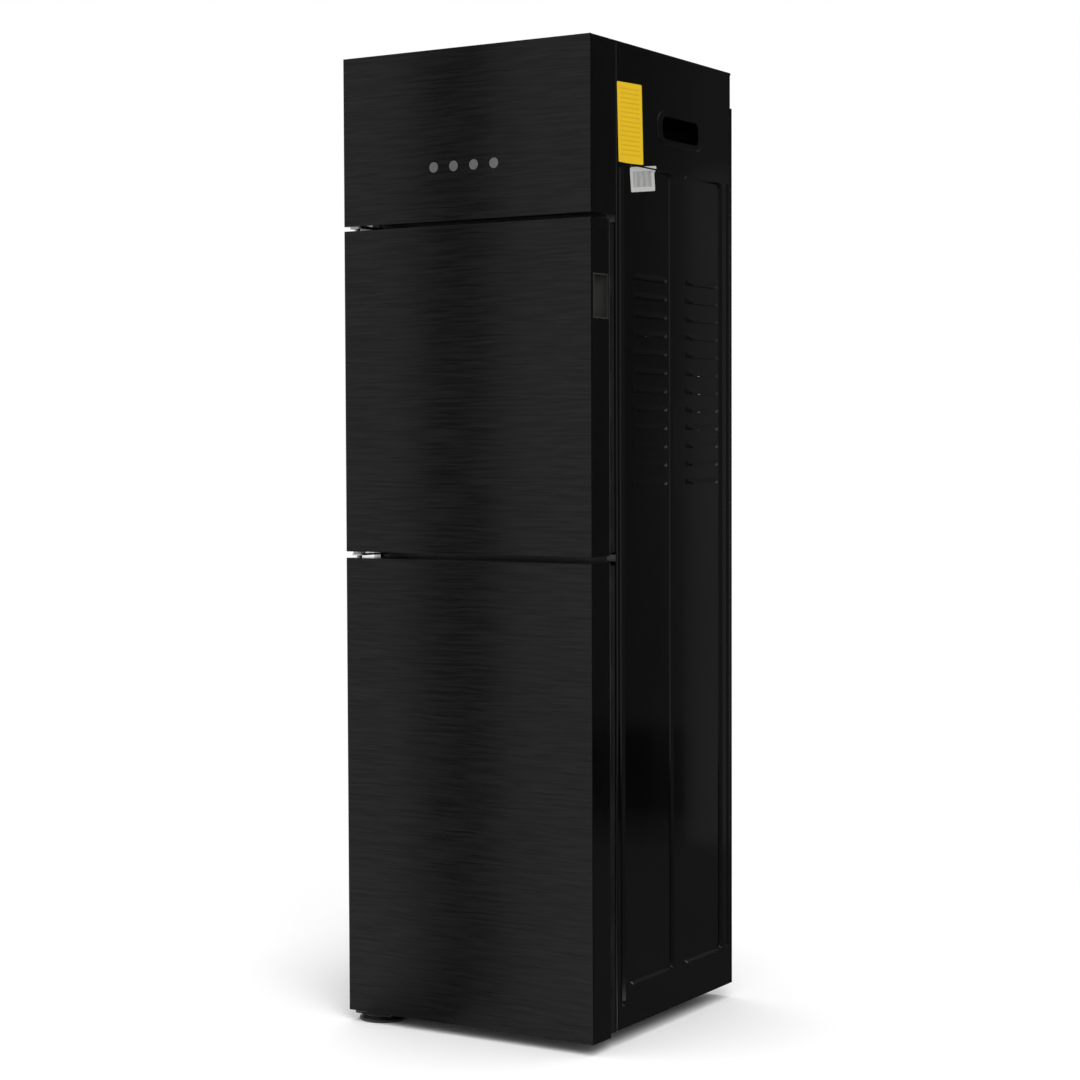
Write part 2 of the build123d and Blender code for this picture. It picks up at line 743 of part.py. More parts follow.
def make_door_bushes(z0, z1, low_play):
    """The two hinge bushes of a door, the lower one with a rim that carries the door."""
    rim_z = z0 - low_play + FIT
    lower = upright(PIN_X, PIN_DEPTH, z0, z0 + HINGE_BLOCK_L, BUSH_R)
    lower = lower + upright(PIN_X, PIN_DEPTH, rim_z, z0, BUSH_R + BUSH_RIM)
    lower = lower - upright(PIN_X, PIN_DEPTH, rim_z, z0 + HINGE_BLOCK_L, PIN_R + RUN)
    upper = upright(PIN_X, PIN_DEPTH, z1 - HINGE_BLOCK_L, z1, BUSH_R)
    upper = upper - upright(PIN_X, PIN_DEPTH, z1 - HINGE_BLOCK_L, z1, PIN_R + RUN)
    return group([lower, upper])


def make_door_liner(z0, z1):
    """The moulded back of a door, with a shallow field, set into its frame."""
    gap = WALL + FIT
    d0 = DOOR_T - LINER_T
    liner = block(-HALF + gap, HALF - gap, d0, DOOR_T, z0 + gap, z1 - gap)
    edge = LINER_FIELD_IN
    field = block(
        -HALF + edge, HALF - edge, DOOR_T - LINER_FIELD_DEEP, DOOR_T, z0 + edge, z1 - edge,
    )
    return liner - rounded(field, Axis.Y, LINER_FIELD_R)


def make_door_seal(z0, z1):
    """The magnetic seal on the back of a door."""
    x = HALF - SEAL_IN_X
    d1 = FRAME_D0 - SEAL_GAP
    seal = ring(-x, x, DOOR_T, d1, z0 + SEAL_IN_Z, z1 - SEAL_IN_Z, SEAL_W)
    return fillet(seal.edges().group_by(Axis.Y)[-1], SEAL_ROUND)


def pull_block(grow, x0, x1):
    """The finger pull's outline between two planes across the door."""
    z1 = MIDDLE_Z1 - PULL_DROP + grow
    z0 = MIDDLE_Z1 - PULL_DROP - PULL_H - grow
    return block(x0, x1, PULL_EDGE - grow, PULL_EDGE + PULL_W + grow, z0, z1)


def make_finger_pull():
    """The scooped cup in the opening edge of the middle door."""
    cup = pull_block(0, HALF - PULL_DEEP, HALF)
    half_w = PULL_W / 2 - PULL_WALL
    deep = PULL_DEEP - PULL_WALL
    radius = (half_w ** 2 + deep ** 2) / (2 * deep)
    z1 = MIDDLE_Z1 - PULL_DROP - PULL_WALL
    z0 = MIDDLE_Z1 - PULL_DROP - PULL_H + PULL_WALL
    scoop = upright(HALF - deep + radius, PULL_EDGE + PULL_W / 2, z0, z1, radius)
    scoop = scoop & block(HALF - PULL_DEEP, HALF, PULL_EDGE + PULL_WALL,
                          PULL_EDGE + PULL_W - PULL_WALL, z0, z1)
    return cup - scoop


def make_middle_frame():
    """The middle door's frame, cut for the finger pull."""
    frame = make_door_frame(MIDDLE_Z0, MIDDLE_Z1)
    return frame - pull_block(FIT, HALF - PULL_DEEP - FIT, HALF)


def bracket_plate(z0, z1, d1):
    """A hinge plate that reaches forward over the pins, rounded at its front."""
    x0 = -HALF + BRACKET_SIDE
    front = PIN_DEPTH - BRACKET_W / 2
    plate = block(x0, x0 + BRACKET_W, front, d1, z0, z1)
    corners = plate.edges().filter_by(Axis.Z).group_by(Axis.Y)[0]
    return fillet(corners, BRACKET_ROUND)


def make_top_bracket():
    """The top hinge plate under the head, with the middle door's upper pin."""
    z0 = HEAD_Z0 - BRACKET_T
    plate = bracket_plate(z0, HEAD_Z0, CABINET_D - BRACKET_T)
    return plate + upright(PIN_X, PIN_DEPTH, MIDDLE_Z1 - PIN_L, z0, PIN_R)


def make_middle_bracket():
    """The hinge plate between the doors, with a pin for each and a tab on the side panel."""
    middle = (LOWER_Z1 + MIDDLE_Z0) / 2
    z0 = middle - BRACKET_T / 2
    z1 = middle + BRACKET_T / 2
    plate = bracket_plate(z0, z1, CABINET_D)
    x0 = -HALF + BRACKET_SIDE
    tab_d = CABINET_D - BRACKET_T
    half = BRACKET_TAB_H / 2
    tab = block(x0, x0 + BRACKET_TAB_W, tab_d, CABINET_D, middle - half, middle + half)
    return plate + tab + upright(PIN_X, PIN_DEPTH, LOWER_Z1 - PIN_L, MIDDLE_Z0 + PIN_L, PIN_R)


def make_foot_bracket():
    """The bottom hinge plate: it carries the lower pin and one foot, and rises into the base."""
    x0 = -HALF + SHEET + BASE_T
    x1 = x0 + FOOT_BRACKET_W
    front = PIN_DEPTH - BRACKET_W / 2
    rear = CABINET_D + FOOT_BRACKET_REACH
    plate = block(x0, x1, front, rear, FOOT_PLATE_Z, FOOT_PLATE_TOP)
    plate = fillet(plate.edges().filter_by(Axis.Z).group_by(Axis.Y)[0], BRACKET_ROUND)
    riser = block(x0, x1, FRAME_D0 + BASE_T, rear, FOOT_PLATE_TOP, BASE_UNDER)
    pin = upright(PIN_X, PIN_DEPTH, FOOT_PLATE_TOP, LOWER_Z0 + PIN_L, PIN_R)
    hole = upright(-HALF + HINGE_FOOT_IN, HINGE_FOOT_DEPTH, FOOT_PLATE_Z, FOOT_PLATE_TOP, STUD_R + RUN)
    return plate + riser + pin - hole


def make_front_frame():
    """The moulded frame round the bottle bay and the niche, behind the side flanges."""
    frame = block(-INNER, INNER, FRAME_D0, FRAME_D1, BASE_TOP, HEAD_Z0 + FRAME_OVER)
    bay = rounded(block(*bay_opening()[:2], FRAME_D0, FRAME_D1, *bay_opening()[2:]), Axis.Y, BAY_R)
    niche = block(-NICHE_HALF, NICHE_HALF, FRAME_D0, FRAME_D1, NICHE_Z0, NICHE_Z1)
    return frame - bay - rounded(niche, Axis.Y, NICHE_R)


def bay_opening():
    """Sides, sill and head of the bottle bay's opening."""
    half = HALF - BAY_SIDE
    return -half, half, BASE_TOP + BAY_SILL, LOWER_Z1 - BAY_HEAD


def make_niche():
    """The moulded tap niche: a rounded box open to the front, with a rim behind the frame."""
    inner = block(-NICHE_HALF, NICHE_HALF, FRAME_D1, NICHE_D1, NICHE_Z0, NICHE_Z1)
    inner = rounded(inner, Axis.Y, NICHE_R)
    w = NICHE_WALL
    outer = block(-NICHE_HALF - w, NICHE_HALF + w, FRAME_D1, NICHE_BACK, NICHE_Z0 - w, NICHE_Z1 + w)
    outer = rounded(outer, Axis.Y, NICHE_R + w)
    e = NICHE_RIM
    rim = block(-NICHE_HALF - e, NICHE_HALF + e, FRAME_D1, FRAME_D1 + w, NICHE_Z0 - e, NICHE_Z1 + e)
    holes = [front_to_back(x, NICHE_D1, NICHE_BACK, TAP_Z, TAIL_R + FIT) for x in tap_places()]
    return outer + rim - inner - holes


def tap_places():
    """Middles of the hot, room and cold taps."""
    return [-TAP_PITCH, 0, TAP_PITCH]


def make_tap(x):
    """One tap: barrel, wall flange, threaded tail, spout with its bore, and a lever lug."""
    spout_d = NICHE_D1 - SPOUT_BACK
    tip_z = TAP_Z - SPOUT_L
    barrel = front_to_back(x, TAP_D0, NICHE_D1, TAP_Z, TAP_R)
    barrel = fillet(barrel.edges().group_by(Axis.Y)[0], TAP_ROUND)
    flange = front_to_back(x, NICHE_D1 - TAP_FLANGE_T, NICHE_D1, TAP_Z, TAP_FLANGE_R)
    flange = fillet(flange.edges().group_by(Axis.Y)[0], TAP_FLANGE_T / 2)
    tail = front_to_back(x, NICHE_D1, TAIL_END, TAP_Z, TAIL_R)
    tail = tail + front_to_back(x, TAIL_END, TAIL_END + NIPPLE_L, TAP_Z, NIPPLE_R)
    spout = upright(x, spout_d, tip_z, TAP_Z, SPOUT_R)
    tip = Pos(x, FRONT_Y + spout_d, tip_z - SPOUT_TIP / 2) * Cone(SPOUT_TIP_R, SPOUT_R, SPOUT_TIP)
    lug_d = lever_pivot_depth()
    half_l = LUG_L / 2
    lug = block(x - LUG_W / 2, x + LUG_W / 2, lug_d - half_l, lug_d + half_l, TAP_Z, TAP_Z + LUG_H)
    bore = upright(x, spout_d, tip_z - SPOUT_TIP, TAP_Z, SPOUT_BORE_R)
    pin_hole = side_to_side(x - LUG_W, x + LUG_W, lug_d, TAP_Z + LEVER_PIN_H, LEVER_PIN_R + RUN)
    return barrel + flange + tail + spout + tip + lug - bore - pin_hole


def lever_pivot_depth():
    """The levers turn on pins above the spouts."""
    return NICHE_D1 - SPOUT_BACK


def make_taps():
    """The three taps and the nuts that clamp them to the niche's back wall."""
    nut = Pos(0, FRONT_Y + NICHE_BACK + NUT_T, TAP_Z) * Rot(90, 0, 0)
    hexagon = RegularPolygon(NUT_FLATS / 2, 6, major_radius=False)
    nut = nut * extrude(hexagon - Circle(TAIL_R + RUN), NUT_T)
    pieces = []
    for x in tap_places():
        pieces.append(make_tap(x))
        pieces.append(Pos(x, 0, 0) * nut)
    return group(pieces)


def make_lever(x):
    """A tap lever: two cheeks on a cross pin under a rounded press plate."""
    pivot_d = lever_pivot_depth()
    pin_z = TAP_Z + LEVER_PIN_H
    plate_z = TAP_Z + LUG_H + LEVER_LIFT
    plate = block(
        x - LEVER_W / 2, x + LEVER_W / 2, pivot_d - LEVER_REACH, pivot_d + LEVER_BACK,
        plate_z, plate_z + LEVER_T,
    )
    plate = rounded(plate, Axis.Z, LEVER_W / 2 - LEVER_CHEEK)
    plate = fillet(plate.edges().group_by(Axis.Z)[-1], LEVER_ROUND)
    inside = LUG_W / 2 + FIT
    outside = inside + LEVER_CHEEK
    drop = 2 * LEVER_PIN_R
    for side in (-1, 1):
        x0, x1 = sorted((x + side * inside, x + side * outside))
        cheek = block(x0, x1, pivot_d - drop, pivot_d + drop, pin_z - drop, plate_z)
        plate = plate + cheek
    return plate + side_to_side(x - outside, x + outside, pivot_d, pin_z, LEVER_PIN_R)


def tray_box(z0, z1, inset):
    """A rounded block over the drip tray's plan, pulled in by inset."""
    half = NICHE_HALF - TRAY_SIDE - inset
    d0 = FRAME_D1 + TRAY_FRONT + inset
    box = block(-half, half, d0, d0 + TRAY_D - 2 * inset, z0, z1)
    return rounded(box, Axis.Z, TRAY_R - inset)


def make_drip_tray():
    """The loose drip tray on the niche floor."""
    tray = tray_box(NICHE_Z0, NICHE_Z0 + TRAY_H, 0)
    return tray - tray_box(NICHE_Z0 + TRAY_WALL, NICHE_Z0 + TRAY_H, TRAY_WALL)


def make_drip_grille():
    """The slotted grille on the tray, with a wider finger slot in its middle."""
    z0 = NICHE_Z0 + TRAY_H
    grille = tray_box(z0, z0 + GRILLE_T, 0)
    grille = fillet(grille.edges().group_by(Axis.Z)[-1], GRILLE_ROUND)
    half = NICHE_HALF - TRAY_SIDE - GRILLE_MARGIN
    middle = FRAME_D1 + TRAY_FRONT + TRAY_D / 2
    slots = int((TRAY_D - 2 * GRILLE_MARGIN) / GRILLE_PITCH) + 1
    first = middle - GRILLE_PITCH * (slots - 1) / 2
    slot_r = GRILLE_SLOT_W / 2
    cuts = []
    for i in range(slots):
        depth = first + GRILLE_PITCH * i
        slot = block(-half, half, depth - slot_r, depth + slot_r, z0, z0 + GRILLE_T)
        cuts.append(rounded(slot, Axis.Z, slot_r - RUN))
    cuts.append(upright(0, middle, z0, z0 + GRILLE_T, GRILLE_GRIP / 2))
    return grille - cuts


def make_partition():
    """The steel shelf over the bottle bay, with the probe's grommet hole."""
    shelf = block(-INNER, INNER, FRAME_D1, SIDE_D1 - SHEET, PARTITION_Z, PARTITION_TOP)
    return shelf - upright(PROBE_X, PROBE_D, PARTITION_Z, PARTITION_TOP, GROMMET_R + FIT)


def make_bridge():
    """The folded steel bridge that carries both tanks over the pump."""
    half = INNER - BRIDGE_SIDE
    d0 = NICHE_BACK + TANK_GAP
    d1 = FAN_D1
    bridge = block(-half, half, d0, d1, PARTITION_TOP, BRIDGE_TOP)
    bridge = bridge - block(-half + SHEET, half - SHEET, d0, d1, PARTITION_TOP, BRIDGE_Z)
    holes = [upright(x, HOT_D, BRIDGE_Z, BRIDGE_TOP, HOSE_R + FIT) for x in (HOT_X, 0, COLD_X)]
    return bridge - holes


def nipple(x, depth, z0, z1):
    """A hose nipple standing along Z, as a bar and its bore."""
    return upright(x, depth, z0, z1, NIPPLE_R), upright(x, depth, z0, z1, NIPPLE_BORE_R)


def make_hot_tank():
    """The hollow steel hot tank with its nipples, and the heater standing in it."""
    z0 = BRIDGE_TOP + JACKET_T
    z1 = TANK_TOP - JACKET_T
    shell = upright(HOT_X, HOT_D, z0, z1, HOT_R)
    shell = fillet(shell.edges().filter_by(GeomType.CIRCLE), TANK_ROUND)
    top, top_bore = nipple(-TAP_PITCH, PORT_D, z1 - TANK_WALL, TANK_TOP + NIPPLE_L)
    low, low_bore = nipple(HOT_X, HOT_D, BRIDGE_Z - NIPPLE_L, z0 + TANK_WALL)
    hollow = upright(HOT_X, HOT_D, z0 + TANK_WALL, z1 - TANK_WALL, HOT_R - TANK_WALL)
    tank = shell + top + low - hollow - top_bore - low_bore
    floor = z0 + TANK_WALL
    flange = upright(HOT_X, HOT_D, floor, floor + HEATER_FLANGE_T, HEATER_FLANGE_R)
    flange = flange - upright(HOT_X, HOT_D, floor, floor + HEATER_FLANGE_T, NIPPLE_BORE_R)
    half = HEATER_SPAN / 2
    bend_z = z1 - HEATER_DROP
    y = FRONT_Y + HOT_D
    rise = Line((HOT_X - half, y, floor + HEATER_FLANGE_T), (HOT_X - half, y, bend_z))
    bend = ThreePointArc((HOT_X - half, y, bend_z), (HOT_X, y, bend_z + half), (HOT_X + half, y, bend_z))
    fall = Line((HOT_X + half, y, bend_z), (HOT_X + half, y, floor + HEATER_FLANGE_T))
    path = rise + bend + fall
    start = Plane(origin=(HOT_X - half, y, floor + HEATER_FLANGE_T), z_dir=(0, 0, 1))
    loop = sweep(start * Circle(HEATER_R), path)
    return group([tank, flange + loop])


def make_hot_jacket():
    """The foam jacket round the hot tank, standing on the bridge."""
    jacket = upright(HOT_X, HOT_D, BRIDGE_TOP, TANK_TOP, JACKET_R)
    jacket = fillet(jacket.edges().filter_by(GeomType.CIRCLE), TANK_ROUND)
    z0 = BRIDGE_TOP + JACKET_T - FIT
    z1 = TANK_TOP - JACKET_T + FIT
    jacket = jacket - upright(HOT_X, HOT_D, z0, z1, HOT_R + FIT)
    jacket = jacket - upright(-TAP_PITCH, PORT_D, z1, TANK_TOP, NIPPLE_R + FIT)
    return jacket - upright(HOT_X, HOT_D, BRIDGE_TOP, z0, NIPPLE_R + FIT)


def cold_box(inset):
    """The cold jacket's block, pulled in by inset all round."""
    return block(
        COLD_X0 + inset, COLD_X1 - inset, COLD_D0 + inset, COLD_D1 - inset,
        BRIDGE_TOP + inset, TANK_TOP - inset,
    )


def make_cold_tank():
    """The hollow cold tank with its two nipples."""
    inset = JACKET_T
    top, top_bore = nipple(TAP_PITCH, PORT_D, TANK_TOP - inset - TANK_WALL, TANK_TOP + NIPPLE_L)
    low, low_bore = nipple(COLD_X, HOT_D, BRIDGE_Z - NIPPLE_L, BRIDGE_TOP + inset + TANK_WALL)
    shell = rounded(cold_box(inset), Axis.Z, TANK_ROUND)
    return shell + top + low - cold_box(inset + TANK_WALL) - top_bore - low_bore


def make_cold_jacket():
    """The foam jacket round the cold tank, with a window for the cooling module."""
    jacket = rounded(cold_box(0), Axis.Z, TANK_ROUND)
    jacket = jacket - cold_box(JACKET_T - FIT)
    jacket = jacket - upright(TAP_PITCH, PORT_D, TANK_TOP - JACKET_T, TANK_TOP, NIPPLE_R + FIT)
    jacket = jacket - upright(COLD_X, HOT_D, BRIDGE_TOP, BRIDGE_TOP + JACKET_T, NIPPLE_R + FIT)
    return jacket - module_box(COLD_D1 - JACKET_T, COLD_D1, FIT)


def module_box(d0, d1, grow):
    """A square block on the cooling stack's axis."""
    half = MODULE_W / 2 + grow
    return block(COLD_X - half, COLD_X + half, d0, d1, TANK_MID_Z - half, TANK_MID_Z + half)


def make_cooling_module():
    """The aluminium cold block in the jacket's window and the thermoelectric plate on it."""
    return group([module_box(COLD_D1 - JACKET_T, COLD_D1, 0), module_box(COLD_D1, SINK_D0, 0)])


def make_heat_sink():
    """The finned heat sink behind the thermoelectric plate."""
    half = SINK_W / 2
    z0 = TANK_MID_Z - half
    z1 = TANK_MID_Z + half
    sink = block(COLD_X - half, COLD_X + half, SINK_D0, SINK_D0 + SINK_BASE, z0, z1)
    step = (SINK_W - SINK_FIN_T) / (SINK_FINS - 1)
    fins = []
    for i in range(SINK_FINS):
        x = COLD_X - half + step * i
        fins.append(block(x, x + SINK_FIN_T, SINK_D0, FAN_D0, z0, z1))
    return sink + fins


def make_fan_frame():
    """The fan's square frame with a spider that carries the axle bearing."""
    half = FAN_W / 2
    frame = block(COLD_X - half, COLD_X + half, FAN_D0, FAN_D1, TANK_MID_Z - half, TANK_MID_Z + half)
    frame = rounded(frame, Axis.Y, FAN_RING)
    frame = frame - front_to_back(COLD_X, FAN_D0, FAN_D1, TANK_MID_Z, half - FAN_RING)
    spider_d = FAN_D1 - FAN_SPIDER_T
    w = FAN_SPIDER_W / 2
    reach = half - FAN_RING / 2
    across = block(COLD_X - reach, COLD_X + reach, spider_d, FAN_D1, TANK_MID_Z - w, TANK_MID_Z + w)
    along = block(COLD_X - w, COLD_X + w, spider_d, FAN_D1, TANK_MID_Z - reach, TANK_MID_Z + reach)
    boss = front_to_back(COLD_X, spider_d, FAN_D1, TANK_MID_Z, FAN_HUB_R)
    bearing = front_to_back(COLD_X, FAN_D0, FAN_D1, TANK_MID_Z, FAN_AXLE_R + RUN)
    return frame + across + along + boss - bearing


def make_fan_rotor():
    """The fan rotor: a hub, its axle and tilted blades."""
    hub_d1 = FAN_D1 - FAN_SPIDER_T - FIT
    hub_d0 = hub_d1 - FAN_HUB_T
    hub = front_to_back(COLD_X, hub_d0, hub_d1, TANK_MID_Z, FAN_HUB_R)
    tip_r = FAN_W / 2 - FAN_RING - FAN_TIP_GAP
    room = front_to_back(COLD_X, hub_d0, hub_d1, TANK_MID_Z, tip_r)
    middle = Pos(COLD_X, FRONT_Y + (hub_d0 + hub_d1) / 2, TANK_MID_Z)
    blade = Pos(0, 0, (tip_r + FAN_HUB_R) / 2) * Rot(0, 0, FAN_BLADE_TILT)
    blade = blade * Box(FAN_BLADE_T, FAN_BLADE_W, tip_r - FAN_HUB_R + 2 * FAN_RING)
    blades = [middle * Rot(0, 360 / FAN_BLADES * i, 0) * blade for i in range(FAN_BLADES)]
    axle = front_to_back(COLD_X, hub_d0, FAN_D1, TANK_MID_Z, FAN_AXLE_R)
    return ((hub + blades) & room) + axle


def make_pump():
    """The pump with its motor and inlet, and the manifold that feeds tanks and drain."""
    z1 = PARTITION_TOP + PUMP_H
    half = PUMP_W / 2
    inlet_x = PUMP_LEFT + half
    inlet_z = PARTITION_TOP + PUMP_INLET_H
    head = block(PUMP_LEFT, PUMP_LEFT + PUMP_W, HOT_D - half, HOT_D + half, PARTITION_TOP, z1)
    head = rounded(head, Axis.Z, TANK_ROUND)
    motor_z = PARTITION_TOP + PUMP_H / 2
    motor = front_to_back(inlet_x, HOT_D + half, HOT_D + half + PUMP_MOTOR_L, motor_z, PUMP_MOTOR_R)
    inlet = front_to_back(inlet_x, HOT_D - half - PUMP_INLET_L, HOT_D, inlet_z, NIPPLE_R)

    left = HOT_X - MANIFOLD_END
    tube = side_to_side(left, PUMP_LEFT, HOT_D, MANIFOLD_Z, MANIFOLD_R)
    for x in (HOT_X, 0, COLD_X):
        tube = tube + upright(x, HOT_D, MANIFOLD_Z, MANIFOLD_Z + MANIFOLD_R + NIPPLE_L / 2, NIPPLE_R)
    drain_end = BODY_DEPTH - DRAIN_PLUG_L / 2
    tube = tube + front_to_back(drain_x(), HOT_D, drain_end, MANIFOLD_Z, DRAIN_PIPE_R)
    return group([head + motor + inlet, tube])


def make_drain_plug():
    """The slotted plug on the end of the drain pipe, level with the rear panel."""
    d0 = BODY_DEPTH - DRAIN_PLUG_L
    plug = front_to_back(drain_x(), d0, BODY_DEPTH, MANIFOLD_Z, DRAIN_PLUG_R)
    pipe_end = BODY_DEPTH - DRAIN_PLUG_L / 2
    plug = plug - front_to_back(drain_x(), d0, pipe_end, MANIFOLD_Z, DRAIN_PIPE_R + RUN)
    half = DRAIN_PLUG_R - DRAIN_SLOT_W
    w = DRAIN_SLOT_W / 2
    slot = block(
        drain_x() - half, drain_x() + half, BODY_DEPTH - DRAIN_SLOT_DEEP, BODY_DEPTH,
        MANIFOLD_Z - w, MANIFOLD_Z + w,
    )
    return plug - slot


def hose(points, radii):
    """A hose along straight runs joined by arcs, with its bore over the nipples."""
    path = FilletPolyline(*points, radius=radii)
    start = Plane(origin=path @ 0, z_dir=path % 0)
    return sweep(start * (Circle(HOSE_R) - Circle(NIPPLE_R + RUN)), path)


def make_water_hoses():
    """The hoses from tanks and manifold to the taps, and the two feed sleeves."""
    pieces = []
    for x in (-TAP_PITCH, TAP_PITCH):
        points = [
            (x, FRONT_Y + TAIL_END + RUN, TAP_Z),
            (x, FRONT_Y + PORT_D, TAP_Z),
            (x, FRONT_Y + PORT_D, TANK_TOP + RUN),
        ]
        pieces.append(hose(points, HOSE_BEND_R))
    sleeve_z = MANIFOLD_Z + MANIFOLD_R + RUN
    points = [
        (0, FRONT_Y + TAIL_END + RUN, TAP_Z),
        (0, FRONT_Y + HOT_D, TAP_Z),
        (0, FRONT_Y + HOT_D, sleeve_z),
    ]
    pieces.append(hose(points, HOSE_BEND_R))
    for x in (HOT_X, COLD_X):
        sleeve = upright(x, HOT_D, sleeve_z, BRIDGE_Z - FIT, HOSE_R)
        pieces.append(sleeve - upright(x, HOT_D, sleeve_z, BRIDGE_Z, NIPPLE_R + RUN))
    return group(pieces)


def make_probe():
    """The bottle probe parked in the bay's ceiling: a cap with a spigot, and its dip tube."""
    z0 = PARTITION_Z - PROBE_CAP_H
    cap = upright(PROBE_X, PROBE_D, z0, PARTITION_Z, PROBE_CAP_R)
    cap = fillet(cap.edges().group_by(Axis.Z)[-1], PROBE_CAP_ROUND)
    mouth = upright(PROBE_X, PROBE_D, z0, PARTITION_Z - PROBE_CAP_WALL, PROBE_CAP_R - PROBE_CAP_WALL)
    spigot = upright(PROBE_X, PROBE_D, PARTITION_Z - PROBE_CAP_WALL, PARTITION_TOP + NIPPLE_L, NIPPLE_R)
    collar = upright(PROBE_X, PROBE_D, PARTITION_Z, PARTITION_TOP, GROMMET_R)
    tube_z = PARTITION_Z - PROBE_CAP_WALL - PROBE_TUBE_L
    tube = upright(PROBE_X, PROBE_D, tube_z, PARTITION_Z - PROBE_CAP_WALL, PROBE_TUBE_R)
    bore = upright(PROBE_X, PROBE_D, tube_z, PARTITION_Z - PROBE_CAP_WALL, PROBE_TUBE_BORE_R)
    return group([cap - mouth + spigot + collar, tube - bore])


def make_probe_hose():
    """The suction hose from the probe's spigot to the pump's inlet."""
    inlet_x = PUMP_LEFT + PUMP_W / 2
    inlet_z = PARTITION_TOP + PUMP_INLET_H
    inlet_d = HOT_D - PUMP_W / 2 - RUN
    y = FRONT_Y + PROBE_D
    points = [
        (PROBE_X, y, PARTITION_TOP + RUN),
        (PROBE_X, y, inlet_z),
        (inlet_x, y, inlet_z),
        (inlet_x, FRONT_Y + inlet_d, inlet_z),
    ]
    return hose(points, HOSE_BEND_R)


def make_power_board():
    """The power board on four posts over the niche, with its coil and capacitors."""
    z0 = NICHE_Z1 + NICHE_WALL
    z1 = z0 + POWER_POST_L
    middle = (FRAME_D1 + NICHE_BACK) / 2
    d0 = middle - POWER_D / 2
    half = POWER_W / 2
    top = z1 + BOARD_T
    board = block(-half, half, d0, d0 + POWER_D, z1, top)
    for x in (-half + BOARD_EDGE, half - BOARD_EDGE):
        for depth in (d0 + BOARD_EDGE, d0 + POWER_D - BOARD_EDGE):
            board = board + upright(x, depth, z0, z1, BOARD_POST_R)
    coil = block(-half + BOARD_EDGE, -half + BOARD_EDGE + COIL_W, middle - COIL_W / 2, middle + COIL_W / 2,
                 z1, top + COIL_H)
    board = board + rounded(coil, Axis.Z, TANK_ROUND)
    for i in range(2):
        x = half - BOARD_EDGE - CAN_R - i * CAN_PITCH
        can = upright(x, middle, z1, top + CAN_H, CAN_R)
        board = board + fillet(can.edges().group_by(Axis.Z)[-1], CAN_ROUND)
    return board


def make_switch_housing():
    """The main switch's housing: a body inside the rear panel and a rim on it."""
    body = switch_block(0, BODY_DEPTH - SWITCH_BODY_L, BODY_DEPTH)
    rim = switch_block(SWITCH_RIM / 2, BODY_DEPTH, BODY_DEPTH + REAR_PROUD - FIT)
    rim = fillet(rim.edges().group_by(Axis.Y)[-1], REAR_PROUD / 4)
    z = TOP_Z - MAIN_SWITCH_DROP
    half_w = ROCKER_W / 2 + FIT
    half_h = ROCKER_H / 2 + FIT
    well_d = BODY_DEPTH - ROCKER_PIVOT_IN - ROCKER_H / 2
    well = block(
        MAIN_SWITCH_X - half_w, MAIN_SWITCH_X + half_w, well_d, BODY_DEPTH + REAR_PROUD,
        z - half_h, z + half_h,
    )
    pivot_d = BODY_DEPTH - ROCKER_PIVOT_IN
    reach = half_w + SWITCH_RIM / 2
    pin = side_to_side(MAIN_SWITCH_X - reach, MAIN_SWITCH_X + reach, pivot_d, z, ROCKER_PIN_R + RUN)
    return body + rim - well - pin


def make_rocker():
    """The main switch's rocker, a shallow boat shape tipped to its on side."""
    half = ROCKER_H / 2 - 2 * FIT
    back = -ROCKER_PIN_R - SHEET
    front = ROCKER_DEEP - ROCKER_PIN_R
    corner = front - half * math.tan(math.radians(ROCKER_TILT))
    outline = make_face(Polyline(
        (0, back, -half / 2), (0, corner, -half), (0, front, 0), (0, corner, half),
        (0, back, half / 2), close=True,
    ))
    boat = extrude(outline, ROCKER_W / 2, both=True)
    reach = ROCKER_W / 2 + FIT + SWITCH_RIM / 2 - FIT
    pin = Rot(0, 90, 0) * Cylinder(ROCKER_PIN_R, 2 * reach)
    place = Pos(MAIN_SWITCH_X, FRONT_Y + BODY_DEPTH - ROCKER_PIVOT_IN, TOP_Z - MAIN_SWITCH_DROP)
    return place * Rot(ROCKER_TILT, 0, 0) * (boat + pin)


def make_gland():
    """The mains gland in the rear panel, with its bore for a lead."""
    barrel = front_to_back(GLAND_X, BODY_DEPTH - GLAND_L, BODY_DEPTH, gland_z(), GLAND_R)
    flange = front_to_back(GLAND_X, BODY_DEPTH, BODY_DEPTH + REAR_PROUD, gland_z(), GLAND_FLANGE_R)
    flange = fillet(flange.edges().group_by(Axis.Y)[-1], REAR_PROUD / 3)
    bore_d1 = BODY_DEPTH + REAR_PROUD
    return barrel + flange - front_to_back(GLAND_X, BODY_DEPTH - GLAND_L, bore_d1, gland_z(), GLAND_BORE_R)


